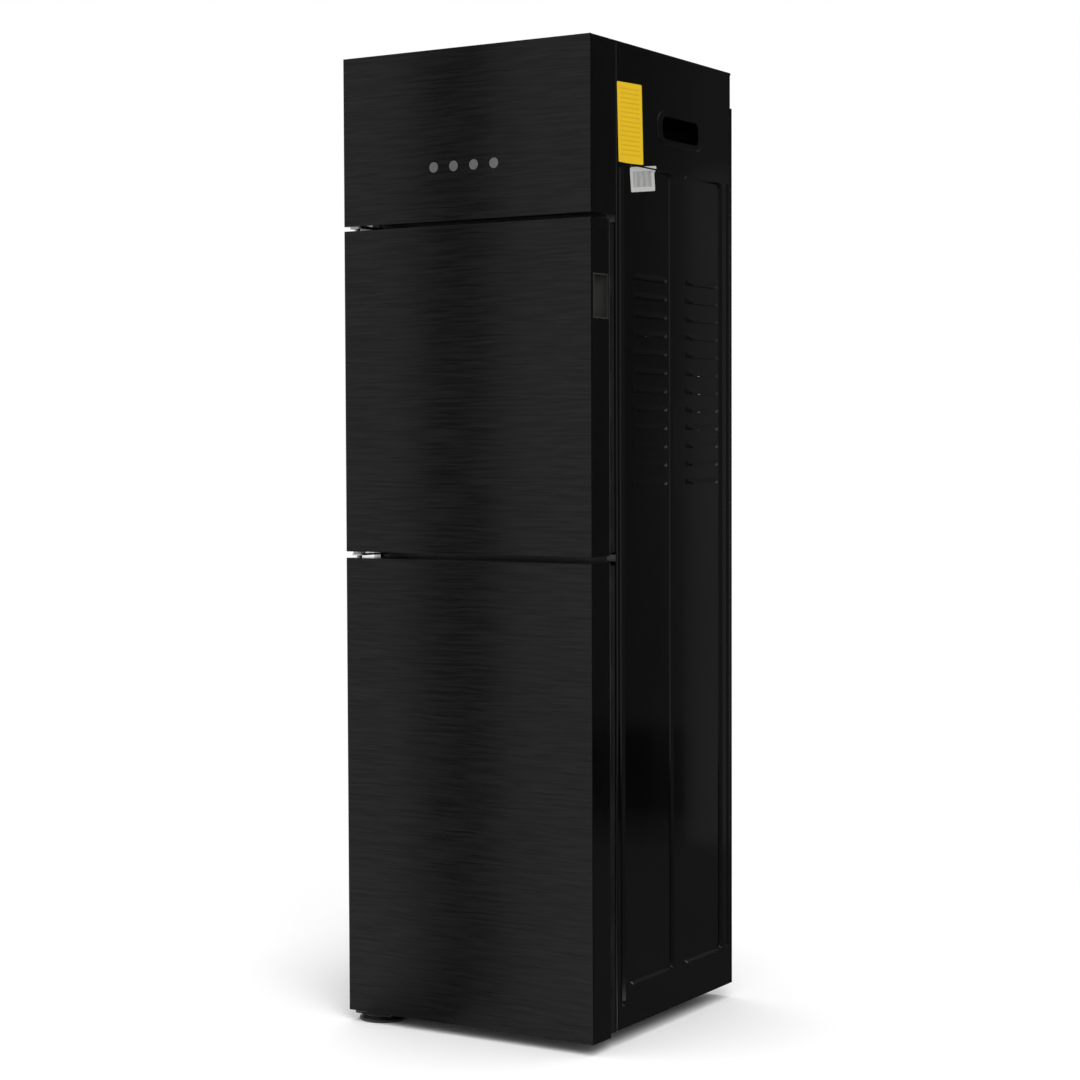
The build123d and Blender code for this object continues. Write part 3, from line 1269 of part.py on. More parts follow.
right_panel = make_side_panel()
right_grip = make_side_grip()
foot_top = FOOT_PLATE_TOP - RUN
base_stud = BASE_Z + STUD_UP
front_right, rear_left, rear_right = base_feet()
middle_play = (DOOR_GAP - BRACKET_T) / 2
pieces = {
    "base_plate": make_base_plate(),
    "side_panel_left": mirror(right_panel, about=Plane.YZ),
    "side_panel_right": right_panel,
    "rear_panel": make_rear_panel(),
    "rear_screws": make_rear_screws(),
    "front_frame": make_front_frame(),
    "partition": make_partition(),
    "top_lid": make_top_lid(),
    "head_frame": make_head_frame(),
    "fascia_sheet": make_fascia(),
    "control_board": make_control_board(),
    "side_grip_left": mirror(right_grip, about=Plane.YZ),
    "side_grip_right": right_grip,
    "top_hinge_bracket": make_top_bracket(),
    "middle_hinge_bracket": make_middle_bracket(),
    "bottom_hinge_bracket": make_foot_bracket(),
    "niche_liner": make_niche(),
    "taps": make_taps(),
    "power_board": make_power_board(),
    "tank_bridge": make_bridge(),
    "hot_tank": make_hot_tank(),
    "hot_tank_jacket": make_hot_jacket(),
    "cold_tank": make_cold_tank(),
    "cold_tank_jacket": make_cold_jacket(),
    "cooling_module": make_cooling_module(),
    "heat_sink": make_heat_sink(),
    "fan_frame": make_fan_frame(),
    "fan_rotor": make_fan_rotor(),
    "water_pump": make_pump(),
    "water_hoses": make_water_hoses(),
    "bottle_probe": make_probe(),
    "probe_hose": make_probe_hose(),
    "drain_plug": make_drain_plug(),
    "mains_gland": make_gland(),
    "switch_housing": make_switch_housing(),
    "switch_rocker": make_rocker(),
    "middle_door_sheet": door_sheet(MIDDLE_Z0, MIDDLE_Z1),
    "middle_door_frame": make_middle_frame(),
    "middle_door_liner": make_door_liner(MIDDLE_Z0, MIDDLE_Z1),
    "middle_door_seal": make_door_seal(MIDDLE_Z0, MIDDLE_Z1),
    "middle_door_pull": make_finger_pull(),
    "middle_door_bushes": make_door_bushes(MIDDLE_Z0, MIDDLE_Z1, middle_play),
    "lower_door_sheet": door_sheet(LOWER_Z0, LOWER_Z1),
    "lower_door_frame": make_door_frame(LOWER_Z0, LOWER_Z1),
    "lower_door_liner": make_door_liner(LOWER_Z0, LOWER_Z1),
    "lower_door_seal": make_door_seal(LOWER_Z0, LOWER_Z1),
    "lower_door_bushes": make_door_bushes(LOWER_Z0, LOWER_Z1, FOOT_BRACKET_PLAY),
    "drip_tray": make_drip_tray(),
    "drip_grille": make_drip_grille(),
    "foot_front_left": make_foot(-HALF + HINGE_FOOT_IN, HINGE_FOOT_DEPTH, FOOT_PLATE_Z, foot_top),
    "foot_front_right": make_foot(*front_right, BASE_Z, base_stud),
    "foot_rear_left": make_foot(*rear_left, BASE_Z, base_stud),
    "foot_rear_right": make_foot(*rear_right, BASE_Z, base_stud),
}
for number, x in enumerate(button_places(), start=1):
    pieces[f"button_{number}"] = make_button(x)
for name, x in zip(("hot", "room", "cold"), tap_places()):
    pieces[f"lever_{name}"] = make_lever(x)

os.makedirs("parts", exist_ok=True)
for name, piece in pieces.items():
    export_step(piece, f"parts/{name}.step")
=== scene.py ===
import math

import bmesh
import bpy
from mathutils import Matrix, Vector


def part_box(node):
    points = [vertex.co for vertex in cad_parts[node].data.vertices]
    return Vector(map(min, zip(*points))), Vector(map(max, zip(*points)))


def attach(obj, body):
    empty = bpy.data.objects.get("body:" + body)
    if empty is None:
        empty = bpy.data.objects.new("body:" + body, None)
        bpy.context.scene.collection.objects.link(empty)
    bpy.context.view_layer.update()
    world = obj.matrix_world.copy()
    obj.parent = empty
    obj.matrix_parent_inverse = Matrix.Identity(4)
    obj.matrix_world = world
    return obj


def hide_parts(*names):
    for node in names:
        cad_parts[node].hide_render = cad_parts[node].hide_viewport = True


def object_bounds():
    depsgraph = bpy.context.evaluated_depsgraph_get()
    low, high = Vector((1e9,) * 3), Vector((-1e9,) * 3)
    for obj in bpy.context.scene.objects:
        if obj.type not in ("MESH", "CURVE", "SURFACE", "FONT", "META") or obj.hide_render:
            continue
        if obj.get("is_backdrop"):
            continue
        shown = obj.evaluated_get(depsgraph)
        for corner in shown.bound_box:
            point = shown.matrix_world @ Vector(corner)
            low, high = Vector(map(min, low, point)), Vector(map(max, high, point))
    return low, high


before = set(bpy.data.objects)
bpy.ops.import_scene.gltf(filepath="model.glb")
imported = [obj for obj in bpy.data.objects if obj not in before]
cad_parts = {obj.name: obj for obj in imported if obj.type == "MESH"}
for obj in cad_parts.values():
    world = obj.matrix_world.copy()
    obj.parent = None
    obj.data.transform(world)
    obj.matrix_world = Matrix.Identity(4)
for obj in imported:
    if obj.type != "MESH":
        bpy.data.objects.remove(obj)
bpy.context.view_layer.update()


# Base pan
# A shallow pan folded from 1.5 mm steel, open below, that carries the cabinet, and
# the lower hinge plate that rises into it. Both have the casing's black coat.
class Wire:
    """A socket in a finish's node tree. Sums on it add Math nodes."""

    def __init__(self, tree, socket=None):
        self.tree = tree
        self.socket = socket

    def node(self, kind, settings, sockets, out=0):
        """Adds a node: its settings first, then the value or the wire of each socket."""
        made = self.tree.nodes.new("ShaderNode" + kind)
        for name, value in settings.items():
            setattr(made, name, value)
        for key, value in sockets.items():
            if isinstance(value, Wire):
                self.tree.links.new(value.socket, made.inputs[key])
            else:
                made.inputs[key].default_value = value
        return Wire(self.tree, made.outputs[out])

    def feed(self, shader, name):
        """Links this wire to a socket of the shader."""
        self.tree.links.new(self.socket, shader.inputs[name])

    def maths(self, operation, first, second):
        return self.node("Math", {"operation": operation}, {0: first, 1: second})

    def __add__(self, other):
        return self.maths("ADD", self, other)

    def __sub__(self, other):
        return self.maths("SUBTRACT", self, other)

    def __rsub__(self, other):
        return self.maths("SUBTRACT", other, self)

    def __mul__(self, other):
        return self.maths("MULTIPLY", self, other)

    def __gt__(self, other):
        return self.maths("GREATER_THAN", self, other)

    def __lt__(self, other):
        return self.maths("LESS_THAN", self, other)

    __radd__ = __add__
    __rmul__ = __mul__


def new_finish(name):
    """A new finish: its material, its shader and the object's own coordinates."""
    material = bpy.data.materials.new(name)
    material.use_nodes = True
    shader = material.node_tree.nodes["Principled BSDF"]
    place = Wire(material.node_tree).node("TexCoord", {}, {}, "Object")
    return material, shader, place


def grain(place, stretch, scale, detail):
    """Noise on the object's own coordinates, packed closer along some axes."""
    packed = place.node("Mapping", {}, {"Vector": place, "Scale": stretch})
    return place.node("TexNoise", {}, {"Vector": packed, "Scale": scale, "Detail": detail})


def ease(wire, low, high):
    """Runs smoothly from 0 at low to 1 at high."""
    settings = {"interpolation_type": "SMOOTHSTEP"}
    return wire.node("MapRange", settings, {"Value": wire, "From Min": low, "From Max": high})


def between(share, first, second):
    """A colour that runs from the first to the second."""
    sockets = {0: share, 6: (*first, 1), 7: (*second, 1)}
    return share.node("Mix", {"data_type": "RGBA"}, sockets, 2)


def relief(height, strength, depth):
    """A fine surface relief from a height, its depth in metres."""
    return height.node("Bump", {}, {"Height": height, "Strength": strength, "Distance": depth})


def dress(finish, *names):
    """Gives a finish to CAD nodes."""
    for name in names:
        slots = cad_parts[name].data.materials
        slots.clear()
        slots.append(finish)


def black_paint():
    """Gloss black spray coat with a faint orange peel and cloudy patches."""
    material, shader, place = new_finish("black_paint")
    peel = grain(place, (1, 1, 1), 300, 2)
    cloud = ease(grain(place, (1, 1, 0.5), 8, 4), 0.3, 0.7)
    dust = ease(grain(place, (1, 1, 1), 900, 2), 0.62, 0.8)
    tone = 0.8 * cloud + 0.2 * dust
    between(tone, (0.0004, 0.0004, 0.0003), (0.0009, 0.0009, 0.0008)).feed(shader, "Base Color")
    (0.10 + 0.05 * cloud).feed(shader, "Roughness")
    relief(peel, 0.06, 0.0003).feed(shader, "Normal")
    return material


casing_paint = black_paint()
dress(casing_paint, "base_plate", "bottom_hinge_bracket")


# Levelling feet
# Four black moulded discs on steel studs, screwed up into the base pan and, at
# the front left, into the lower hinge plate. Their rims are scuffed by the floor.
def moulded(name, dark, light, gloss, pores):
    """A moulded plastic: spark texture from the tool, flow clouds and uneven gloss."""
    material, shader, place = new_finish(name)
    spark = grain(place, (1, 1, 1), pores, 3)
    flow = ease(grain(place, (1, 1, 0.6), 16, 3), 0.3, 0.7)
    rub = ease(grain(place, (1, 1, 1), 70, 4), 0.45, 0.75)
    between(0.7 * flow + 0.3 * rub, dark, light).feed(shader, "Base Color")
    (gloss - 0.05 + 0.07 * flow + 0.05 * rub).feed(shader, "Roughness")
    relief(spark, 0.12, 0.0002).feed(shader, "Normal")
    return material


foot_plastic = moulded("foot_plastic", (0.012, 0.012, 0.012), (0.022, 0.022, 0.021), 0.55, 900)
FEET = ["foot_front_left", "foot_front_right", "foot_rear_left", "foot_rear_right"]
dress(foot_plastic, *FEET)


# Casing sheets
# Two side panels and a rear panel pressed from 1 mm steel, with flanges folded
# along their edges, sunk fields, louvres and vent slots, sprayed gloss black.
dress(casing_paint, "side_panel_left", "side_panel_right", "rear_panel")


# Hinge plates and inner steel
# Zinc-plated brackets that carry the door pins, the shelf over the bottle bay
# and the bridge under the tanks, all folded from plain plated sheet.
def zinc_plate():
    """Zinc plating: faint crystals, fine rolling lines and dull patches."""
    material, shader, place = new_finish("zinc_plate")
    crystals = place.node("TexVoronoi", {}, {"Vector": place, "Scale": 160}, "Color")
    shade = crystals.node("SeparateColor", {}, {"Color": crystals})
    rolled = grain(place, (1, 20, 20), 30, 2)
    tone = 0.5 * shade + 0.5 * rolled
    between(tone, (0.40, 0.41, 0.42), (0.60, 0.61, 0.61)).feed(shader, "Base Color")
    (0.3 + 0.18 * tone).feed(shader, "Roughness")
    relief(rolled, 0.05, 0.0001).feed(shader, "Normal")
    shader.inputs["Metallic"].default_value = 1.0
    return material


plated_steel = zinc_plate()
dress(plated_steel, "top_hinge_bracket", "middle_hinge_bracket")
dress(plated_steel, "partition", "tank_bridge")


# Front frame
# One black moulding behind the side flanges that frames the bottle bay and the
# tap niche. It is textured like the door frames and gives the seals their seat.
black_moulding = moulded("black_moulding", (0.0012, 0.0012, 0.0011), (0.0022, 0.0022, 0.0020), 0.38, 1100)
dress(black_moulding, "front_frame")


# Pump, manifold and hoses
# A white pump and a moulded manifold on the shelf, joined to tanks and taps by
# milky silicone hose pushed over nipples.
white_moulding = moulded("white_moulding", (0.60, 0.60, 0.57), (0.70, 0.70, 0.68), 0.42, 700)
dress(white_moulding, "water_pump", "bottle_probe")


def silicone():
    """Milky silicone hose, soft and a little waxy."""
    material, shader, place = new_finish("silicone_hose")
    milk = ease(grain(place, (1, 1, 1), 60, 3), 0.3, 0.7)
    between(milk, (0.55, 0.56, 0.54), (0.68, 0.68, 0.66)).feed(shader, "Base Color")
    (0.3 + 0.12 * milk).feed(shader, "Roughness")
    relief(milk, 0.05, 0.0003).feed(shader, "Normal")
    shader.inputs["Subsurface Weight"].default_value = 0.3
    shader.inputs["Subsurface Radius"].default_value = (0.004, 0.004, 0.003)
    return material


dress(silicone(), "water_hoses", "probe_hose")


# Tanks and cooling
# A stainless hot tank and a moulded cold tank in white foam jackets, with an
# aluminium heat sink and a fan behind the cold one.
def brushed_steel(name, dark, light, along):
    """Bare metal with brushing packed across the given direction."""
    material, shader, place = new_finish(name)
    lines = grain(place, along, 12, 4)
    smear = grain(place, (1, 1, 1), 20, 3)
    tone = 0.7 * lines + 0.3 * smear
    between(ease(tone, 0.3, 0.7), dark, light).feed(shader, "Base Color")
    (0.2 + 0.2 * tone).feed(shader, "Roughness")
    relief(lines, 0.05, 0.0001).feed(shader, "Normal")
    shader.inputs["Metallic"].default_value = 1.0
    return material


def foam():
    """Moulded bead foam: packed white beads with darker seams."""
    material, shader, place = new_finish("bead_foam")
    beads = place.node("TexVoronoi", {}, {"Vector": place, "Scale": 260}, "Distance")
    seam = ease(beads, 0.1, 0.6)
    between(seam, (0.78, 0.78, 0.76), (0.62, 0.62, 0.60)).feed(shader, "Base Color")
    (0.75 + 0.15 * seam).feed(shader, "Roughness")
    relief(1 - seam, 0.35, 0.0008).feed(shader, "Normal")
    return material


dress(brushed_steel("stainless", (0.46, 0.46, 0.46), (0.62, 0.62, 0.61), (1, 1, 40)), "hot_tank")
dress(white_moulding, "cold_tank")
dress(foam(), "hot_tank_jacket", "cold_tank_jacket")
extruded = brushed_steel("extruded_aluminium", (0.58, 0.59, 0.60), (0.72, 0.73, 0.74), (30, 30, 1))
dress(extruded, "heat_sink", "cooling_module")
dress(black_moulding, "fan_frame", "fan_rotor")


# Tap niche
# A deep box moulded in dark grey plastic, clipped behind the front frame, with
# three taps screwed through its back wall and a loose drip tray on its floor.
niche_plastic = moulded("niche_plastic", (0.030, 0.031, 0.032), (0.044, 0.045, 0.046), 0.40, 800)
dress(niche_plastic, "niche_liner", "taps", "drip_tray")
grille_steel = brushed_steel("grille_steel", (0.42, 0.42, 0.42), (0.60, 0.60, 0.59), (1, 40, 40))
dress(grille_steel, "drip_grille")


# Tap levers
# Glossy mouldings in red, white and blue for hot, room and cold water, each
# snapped on a cross pin above its spout.
LEVER_TONES = {
    "lever_hot": ((0.36, 0.016, 0.012), (0.46, 0.024, 0.018)),
    "lever_room": ((0.62, 0.62, 0.60), (0.72, 0.72, 0.70)),
    "lever_cold": ((0.012, 0.065, 0.34), (0.020, 0.090, 0.44)),
}
for lever, (dark, light) in LEVER_TONES.items():
    dress(moulded(lever + "_plastic", dark, light, 0.24, 500), lever)


# Door frames and liners
# Each door is a black moulded frame with a liner set into its back. White acetal
# bushes in its corners run on the hinge pins.
gloss_moulding = moulded("gloss_moulding", (0.0005, 0.0005, 0.0004), (0.0010, 0.0010, 0.0009), 0.14, 600)
dress(gloss_moulding, "middle_door_frame", "lower_door_frame")
liner_plastic = moulded("liner_plastic", (0.010, 0.010, 0.010), (0.017, 0.017, 0.017), 0.38, 700)
dress(liner_plastic, "middle_door_liner", "lower_door_liner")
dress(white_moulding, "middle_door_bushes", "lower_door_bushes")


# Door seals
# Soft black extrusions pushed into the liner: a flat foot, a folded bellows and a
# hollow front with a magnet strip, cut and welded at the corners. A soft leaf along
# the opening edge closes the gap to the cabinet.
def put(name, shape, finish, body):
    """Makes an object of a finished mesh and sets it on its body."""
    mesh = bpy.data.meshes.new(name)
    shape.to_mesh(mesh)
    shape.free()
    mesh.shade_smooth()
    mesh.set_sharp_from_angle(angle=math.radians(35))
    mesh.materials.append(finish)
    made = bpy.data.objects.new(name, mesh)
    bpy.context.scene.collection.objects.link(made)
    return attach(made, body)


def rubber():
    """Soft black rubber with a faint bloom of talc."""
    material, shader, place = new_finish("seal_rubber")
    bloom = ease(grain(place, (1, 1, 1), 45, 4), 0.4, 0.75)
    skin = grain(place, (1, 1, 1), 1500, 2)
    between(bloom, (0.003, 0.003, 0.003), (0.007, 0.007, 0.007)).feed(shader, "Base Color")
    (0.28 + 0.15 * bloom).feed(shader, "Roughness")
    relief(skin, 0.1, 0.0001).feed(shader, "Normal")
    return material


seal_rubber = rubber()
SEAL_W = 0.008
SEAL_SECTION = [
    (0.10, 0.00), (0.90, 0.00), (0.90, 0.15), (0.64, 0.30), (0.95, 0.46), (0.84, 0.60), (1.00, 0.68),
    (1.00, 0.94), (0.88, 1.00), (0.12, 1.00), (0.00, 0.94), (0.00, 0.68), (0.16, 0.60), (0.05, 0.46),
    (0.36, 0.30), (0.10, 0.15),
]
LEAF_IN = 0.0015
LEAF_GAP = 0.0006
LEAF_ROUND = 0.0012


def add_block(shape, low, high, rounding):
    """Adds a block between two corners, its edges rounded."""
    made = bmesh.ops.create_cube(shape, size=1)["verts"]
    bmesh.ops.scale(shape, verts=made, vec=high - low)
    bmesh.ops.translate(shape, verts=made, vec=(low + high) / 2)
    edges = list({edge for vert in made for edge in vert.link_edges})
    bmesh.ops.bevel(
        shape, geom=edges, offset=rounding, segments=3, profile=0.5, affect="EDGES", material=-1,
    )


def make_seal(node, body):
    """Runs the section round the door, mitred at the corners, and adds the leaf."""
    low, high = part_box(node)
    middle = (low + high) / 2
    half = (high - low) / 2
    shape = bmesh.new()
    rings = []
    for side_x, side_z in ((-1, -1), (1, -1), (1, 1), (-1, 1)):
        corner = []
        for inward, out in SEAL_SECTION:
            x = middle.x + side_x * (half.x - inward * SEAL_W)
            z = middle.z + side_z * (half.z - inward * SEAL_W)
            corner.append(shape.verts.new((x, low.y + out * (high.y - low.y), z)))
        rings.append([shape.edges.new((a, b)) for a, b in zip(corner, corner[1:] + corner[:1])])
    for ring, following in zip(rings, rings[1:] + rings[:1]):
        bmesh.ops.bridge_loops(shape, edges=ring + following)
    leaf_low = Vector((high.x - SEAL_W / 2, low.y + LEAF_GAP, low.z))
    cabinet_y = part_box("side_panel_right")[0].y
    leaf_high = Vector((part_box(body + "_frame")[1].x - LEAF_IN, cabinet_y - LEAF_GAP, high.z))
    add_block(shape, leaf_low, leaf_high, LEAF_ROUND)
    bmesh.ops.recalc_face_normals(shape, faces=shape.faces)
    seal = put(node + "_bellows", shape, seal_rubber, body)
    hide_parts(node)


make_seal("middle_door_seal", "middle_door")
make_seal("lower_door_seal", "lower_door")


# Brushed front sheets
# Black-tinted steel, brushed crosswise in short wavering strokes, bonded to the
# fronts of the head and the two doors with its edges just broken.
def brushed_black():
    """Black steel with wavering strokes, fine hairlines and an uneven tint."""
    material, shader, place = new_finish("brushed_black")
    waver = grain(place, (1, 1, 0.7), 26, 2)
    lift = place.node("CombineXYZ", {}, {"Z": 0.004 * waver})
    bent = place.node("VectorMath", {"operation": "ADD"}, {0: place, 1: lift})
    strokes = ease(grain(bent, (1, 1, 20), 18, 3), 0.34, 0.66)
    hairs = ease(grain(bent, (1, 1, 120), 11, 2), 0.3, 0.7)
    tint = grain(place, (1, 1, 1), 5, 2)
    tone = 0.5 * strokes + 0.3 * hairs + 0.2 * tint
    between(tone, (0.0142, 0.0143, 0.0143), (0.0262, 0.0262, 0.0263)).feed(shader, "Base Color")
    (0.25 + 0.14 * tone).feed(shader, "Roughness")
    relief(0.6 * strokes + 0.4 * hairs, 0.1, 0.0002).feed(shader, "Normal")
    shader.inputs["Metallic"].default_value = 1.0
    shader.inputs["Anisotropic"].default_value = 0.7
    shader.inputs["Anisotropic Rotation"].default_value = 0.25
    return material


dress(brushed_black(), "fascia_sheet", "middle_door_sheet", "lower_door_sheet")


# Finger pull
# A smooth dark grey cup let into the opening edge of the middle door, scooped so
# that fingertips reach behind the front.
pull_plastic = moulded("pull_plastic", (0.014, 0.014, 0.013), (0.021, 0.021, 0.020), 0.30, 400)
dress(pull_plastic, "middle_door_pull")


# Head and lid
# A black moulding behind the fascia holds the buttons and their board, and a flat
# lid with a rear skirt closes the top.
dress(gloss_moulding, "head_frame", "top_lid")


def circuit_board():
    """Green solder mask with darker track lines and tinned spots."""
    material, shader, place = new_finish("circuit_board")
    weave = place.node("TexBrick", {}, {"Vector": place, "Scale": 90, "Mortar Size": 0.03}, "Fac")
    spots = place.node("TexVoronoi", {}, {"Vector": place, "Scale": 240}, "Distance")
    pads = spots < 0.12
    mask = between(weave, (0.010, 0.085, 0.030), (0.020, 0.16, 0.055))
    mixed = mask.node("Mix", {"data_type": "RGBA"}, {0: pads, 6: mask, 7: (0.6, 0.6, 0.58, 1)}, 2)
    mixed.feed(shader, "Base Color")
    (0.4 - 0.12 * pads).feed(shader, "Roughness")
    relief(weave, 0.1, 0.0001).feed(shader, "Normal")
    return material


dress(circuit_board(), "control_board", "power_board")


# Push buttons
# Four round caps moulded in mid grey, with a satin face, set in the brushed front
# and sprung from behind.
button_plastic = moulded("button_plastic", (0.068, 0.068, 0.069), (0.092, 0.092, 0.093), 0.45, 1400)
dress(button_plastic, "button_1", "button_2", "button_3", "button_4")


# Hand grips
# Black moulded cups pushed into the side panels from outside, with a flat rim
# that lies on the sheet.
dress(gloss_moulding, "side_grip_left", "side_grip_right")


# Rear fittings
# Main switch, cable gland and drain plug, black mouldings set in holes of the
# rear panel.
dress(black_moulding, "switch_housing", "switch_rocker", "mains_gland", "drain_plug")


# Rear screws
# Plated pan-head screws with a cross recess that hold the rear panel to the side
# flanges, four down each edge.
SCREW_HEAD_R = 0.004
SCREW_HEAD_H = 0.0022
SCREW_SHANK_R = 0.002
SCREW_LENGTH = 0.008
SCREW_SIDES = 24
SCREW_ROWS = 4
TURN_BY_ROW = 1.1
TURN_BY_PLACE = 9
RECESS_ARM = 0.0019
RECESS_HALF = 0.00045
RECESS_DEEP = 0.0013


def add_screw(shape, place):
    """Adds one screw, its head out along local +Z from the sheet."""
    outline = [
        (0.6 * SCREW_HEAD_R, SCREW_HEAD_H), (0.8 * SCREW_HEAD_R, 0.9 * SCREW_HEAD_H),
        (0.95 * SCREW_HEAD_R, 0.6 * SCREW_HEAD_H), (SCREW_HEAD_R, 0.25 * SCREW_HEAD_H), (SCREW_HEAD_R, 0),
        (SCREW_SHANK_R, 0), (SCREW_SHANK_R, -SCREW_LENGTH), (0, -SCREW_LENGTH),
    ]
    screw = bmesh.new()
    line = [screw.verts.new((radius, 0, height)) for radius, height in outline]
    for a, b in zip(line, line[1:]):
        screw.edges.new((a, b))
    bmesh.ops.spin(
        screw, geom=screw.verts[:] + screw.edges[:], axis=(0, 0, 1), steps=SCREW_SIDES, angle=math.tau,
        use_merge=True,
    )
    bmesh.ops.remove_doubles(screw, verts=screw.verts, dist=1e-6)
    mouth = [edge for edge in screw.edges if edge.is_boundary]
    thin, long = RECESS_HALF, RECESS_ARM
    arms = [
        (thin, thin), (thin, long), (-thin, long), (-thin, thin), (-long, thin), (-long, -thin),
        (-thin, -thin), (-thin, -long), (thin, -long), (thin, -thin), (long, -thin), (long, thin),
    ]
    cross = screw.faces.new([screw.verts.new((x, y, SCREW_HEAD_H)) for x, y in arms])
    bmesh.ops.bridge_loops(screw, edges=mouth + cross.edges[:])
    sunk = bmesh.ops.extrude_face_region(screw, geom=[cross])["geom"]
    floor = [part for part in sunk if isinstance(part, bmesh.types.BMVert)]
    bmesh.ops.translate(screw, verts=floor, vec=(0, 0, -RECESS_DEEP))
    bmesh.ops.recalc_face_normals(screw, faces=screw.faces)
    screw.transform(place)
    mesh = bpy.data.meshes.new("screw")
    screw.to_mesh(mesh)
    screw.free()
    shape.from_mesh(mesh)
    bpy.data.meshes.remove(mesh)


low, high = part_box("rear_screws")
shape = bmesh.new()
rearward = Matrix.Rotation(-math.pi / 2, 4, "X")
for side_x in (low.x + SCREW_HEAD_R, high.x - SCREW_HEAD_R):
    for row in range(SCREW_ROWS):
        z = low.z + SCREW_HEAD_R + row * (high.z - low.z - 2 * SCREW_HEAD_R) / (SCREW_ROWS - 1)
        seat = Matrix.Translation((side_x, high.y - SCREW_HEAD_H, z))
        turn = Matrix.Rotation(row * TURN_BY_ROW + side_x * TURN_BY_PLACE, 4, "Z")
        add_screw(shape, seat @ rearward @ turn)
screws = put("rear_screw_heads", shape, plated_steel, "cabinet")
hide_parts("rear_screws")


# Side labels
# Two paper labels stuck to the right side near the top front: a yellow one with
# plain ruled lines, and a small white one with plain grey bars, drawn down over
# the edge of the sunk field.
LABEL_T = 0.00012
LABEL_CORNER = 0.0018
FIELD_DEEP = 0.003
EDGE_LOW, EDGE_HIGH = 0.9485, 0.9545
EDGE_STEPS = 8
side_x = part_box("side_panel_right")[1].x
front_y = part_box("fascia_sheet")[0].y


def make_label(name, size, depth, z, tilt, finish):
    """A thin sheet with rounded corners that follows the side panel, turned a little."""
    shape = bmesh.new()
    bmesh.ops.create_grid(shape, x_segments=1, y_segments=1, size=0.5)
    bmesh.ops.scale(shape, verts=shape.verts, vec=(size[0], size[1], 1))
    bmesh.ops.bevel(
        shape, geom=shape.verts[:], offset=LABEL_CORNER, segments=4, profile=0.5, affect="VERTICES",
        material=-1,
    )
    upright = Matrix(((0, 0, 1, 0), (1, 0, 0, 0), (0, 1, 0, 0), (0, 0, 0, 1)))
    place = Matrix.Translation((side_x, front_y + depth, z)) @ upright @ Matrix.Rotation(tilt, 4, "Z")
    shape.transform(place)
    for step in range(EDGE_STEPS + 1):
        level = EDGE_LOW + (EDGE_HIGH - EDGE_LOW) * step / EDGE_STEPS
        parts = shape.verts[:] + shape.edges[:] + shape.faces[:]
        bmesh.ops.bisect_plane(shape, geom=parts, plane_co=(0, 0, level), plane_no=(0, 0, 1))
    for vert in shape.verts:
        share = min(max((EDGE_HIGH - vert.co.z) / (EDGE_HIGH - EDGE_LOW), 0), 1)
        vert.co.x -= FIELD_DEEP * share * share * (3 - 2 * share)
    lifted = bmesh.ops.extrude_face_region(shape, geom=shape.faces[:])["geom"]
    top = [part for part in lifted if isinstance(part, bmesh.types.BMVert)]
    bmesh.ops.translate(shape, verts=top, vec=(LABEL_T, 0, 0))
    bmesh.ops.recalc_face_normals(shape, faces=shape.faces)
    return put(name, shape, finish, "cabinet")


def label_paper(name, depth, z, tilt):
    """A label's finish, with coordinates from its own middle along its own edges."""
    material, shader, place = new_finish(name)
    sockets = {"Vector": place, "Location": (0, front_y + depth, z), "Rotation": (tilt, 0, 0)}
    local = place.node("Mapping", {"vector_type": "TEXTURE"}, sockets)
    across = local.node("SeparateXYZ", {}, {"Vector": local}, "Y")
    up = local.node("SeparateXYZ", {}, {"Vector": local}, "Z")
    fibres = grain(place, (1, 1, 1), 1200, 3)
    relief(fibres, 0.08, 0.0001).feed(shader, "Normal")
    (0.45 + 0.2 * fibres).feed(shader, "Roughness")
    shader.inputs["Specular IOR Level"].default_value = 0.2
    return material, shader, across, up, fibres


def sine(wire):
    return wire.node("Math", {"operation": "SINE"}, {0: wire})


def size_of(wire):
    return wire.node("Math", {"operation": "ABSOLUTE"}, {0: wire})


YELLOW_SIZE = (0.054, 0.086)
YELLOW_DEPTH, YELLOW_Z, YELLOW_TILT = 0.0845, 0.997, math.radians(2.4)
YELLOW_PRINT = (0.021, 0.038)
RULE_RATE = 1250
yellow_paper, shader, across, up, fibres = label_paper("yellow_paper", YELLOW_DEPTH, YELLOW_Z, YELLOW_TILT)
printed = (size_of(across) < YELLOW_PRINT[0]) * (size_of(up) < YELLOW_PRINT[1])
ruled = ease(sine(up * RULE_RATE), 0.2, 0.9) * printed
between(0.75 * ruled + 0.25 * fibres, (0.62, 0.40, 0.004), (0.50, 0.29, 0.002)).feed(shader, "Base Color")
make_label("yellow_label", YELLOW_SIZE, YELLOW_DEPTH, YELLOW_Z, YELLOW_TILT, yellow_paper)

WHITE_SIZE = (0.054, 0.027)
WHITE_DEPTH, WHITE_Z, WHITE_TILT = 0.117, 0.9405, math.radians(6.7)
WHITE_PRINT = (0.021, 0.0085)
BAR_RATE, FINE_BAR_RATE = 2400, 5300
white_paper, shader, across, up, fibres = label_paper("white_paper", WHITE_DEPTH, WHITE_Z, WHITE_TILT)
printed = (size_of(across) < WHITE_PRINT[0]) * (size_of(up) < WHITE_PRINT[1])
bars = ((sine(across * BAR_RATE) + sine(across * FINE_BAR_RATE)) > 0.1) * printed
between(0.85 * bars + 0.15 * fibres, (0.42, 0.42, 0.41), (0.10, 0.10, 0.10)).feed(shader, "Base Color")
make_label("white_label", WHITE_SIZE, WHITE_DEPTH, WHITE_Z, WHITE_TILT, white_paper)


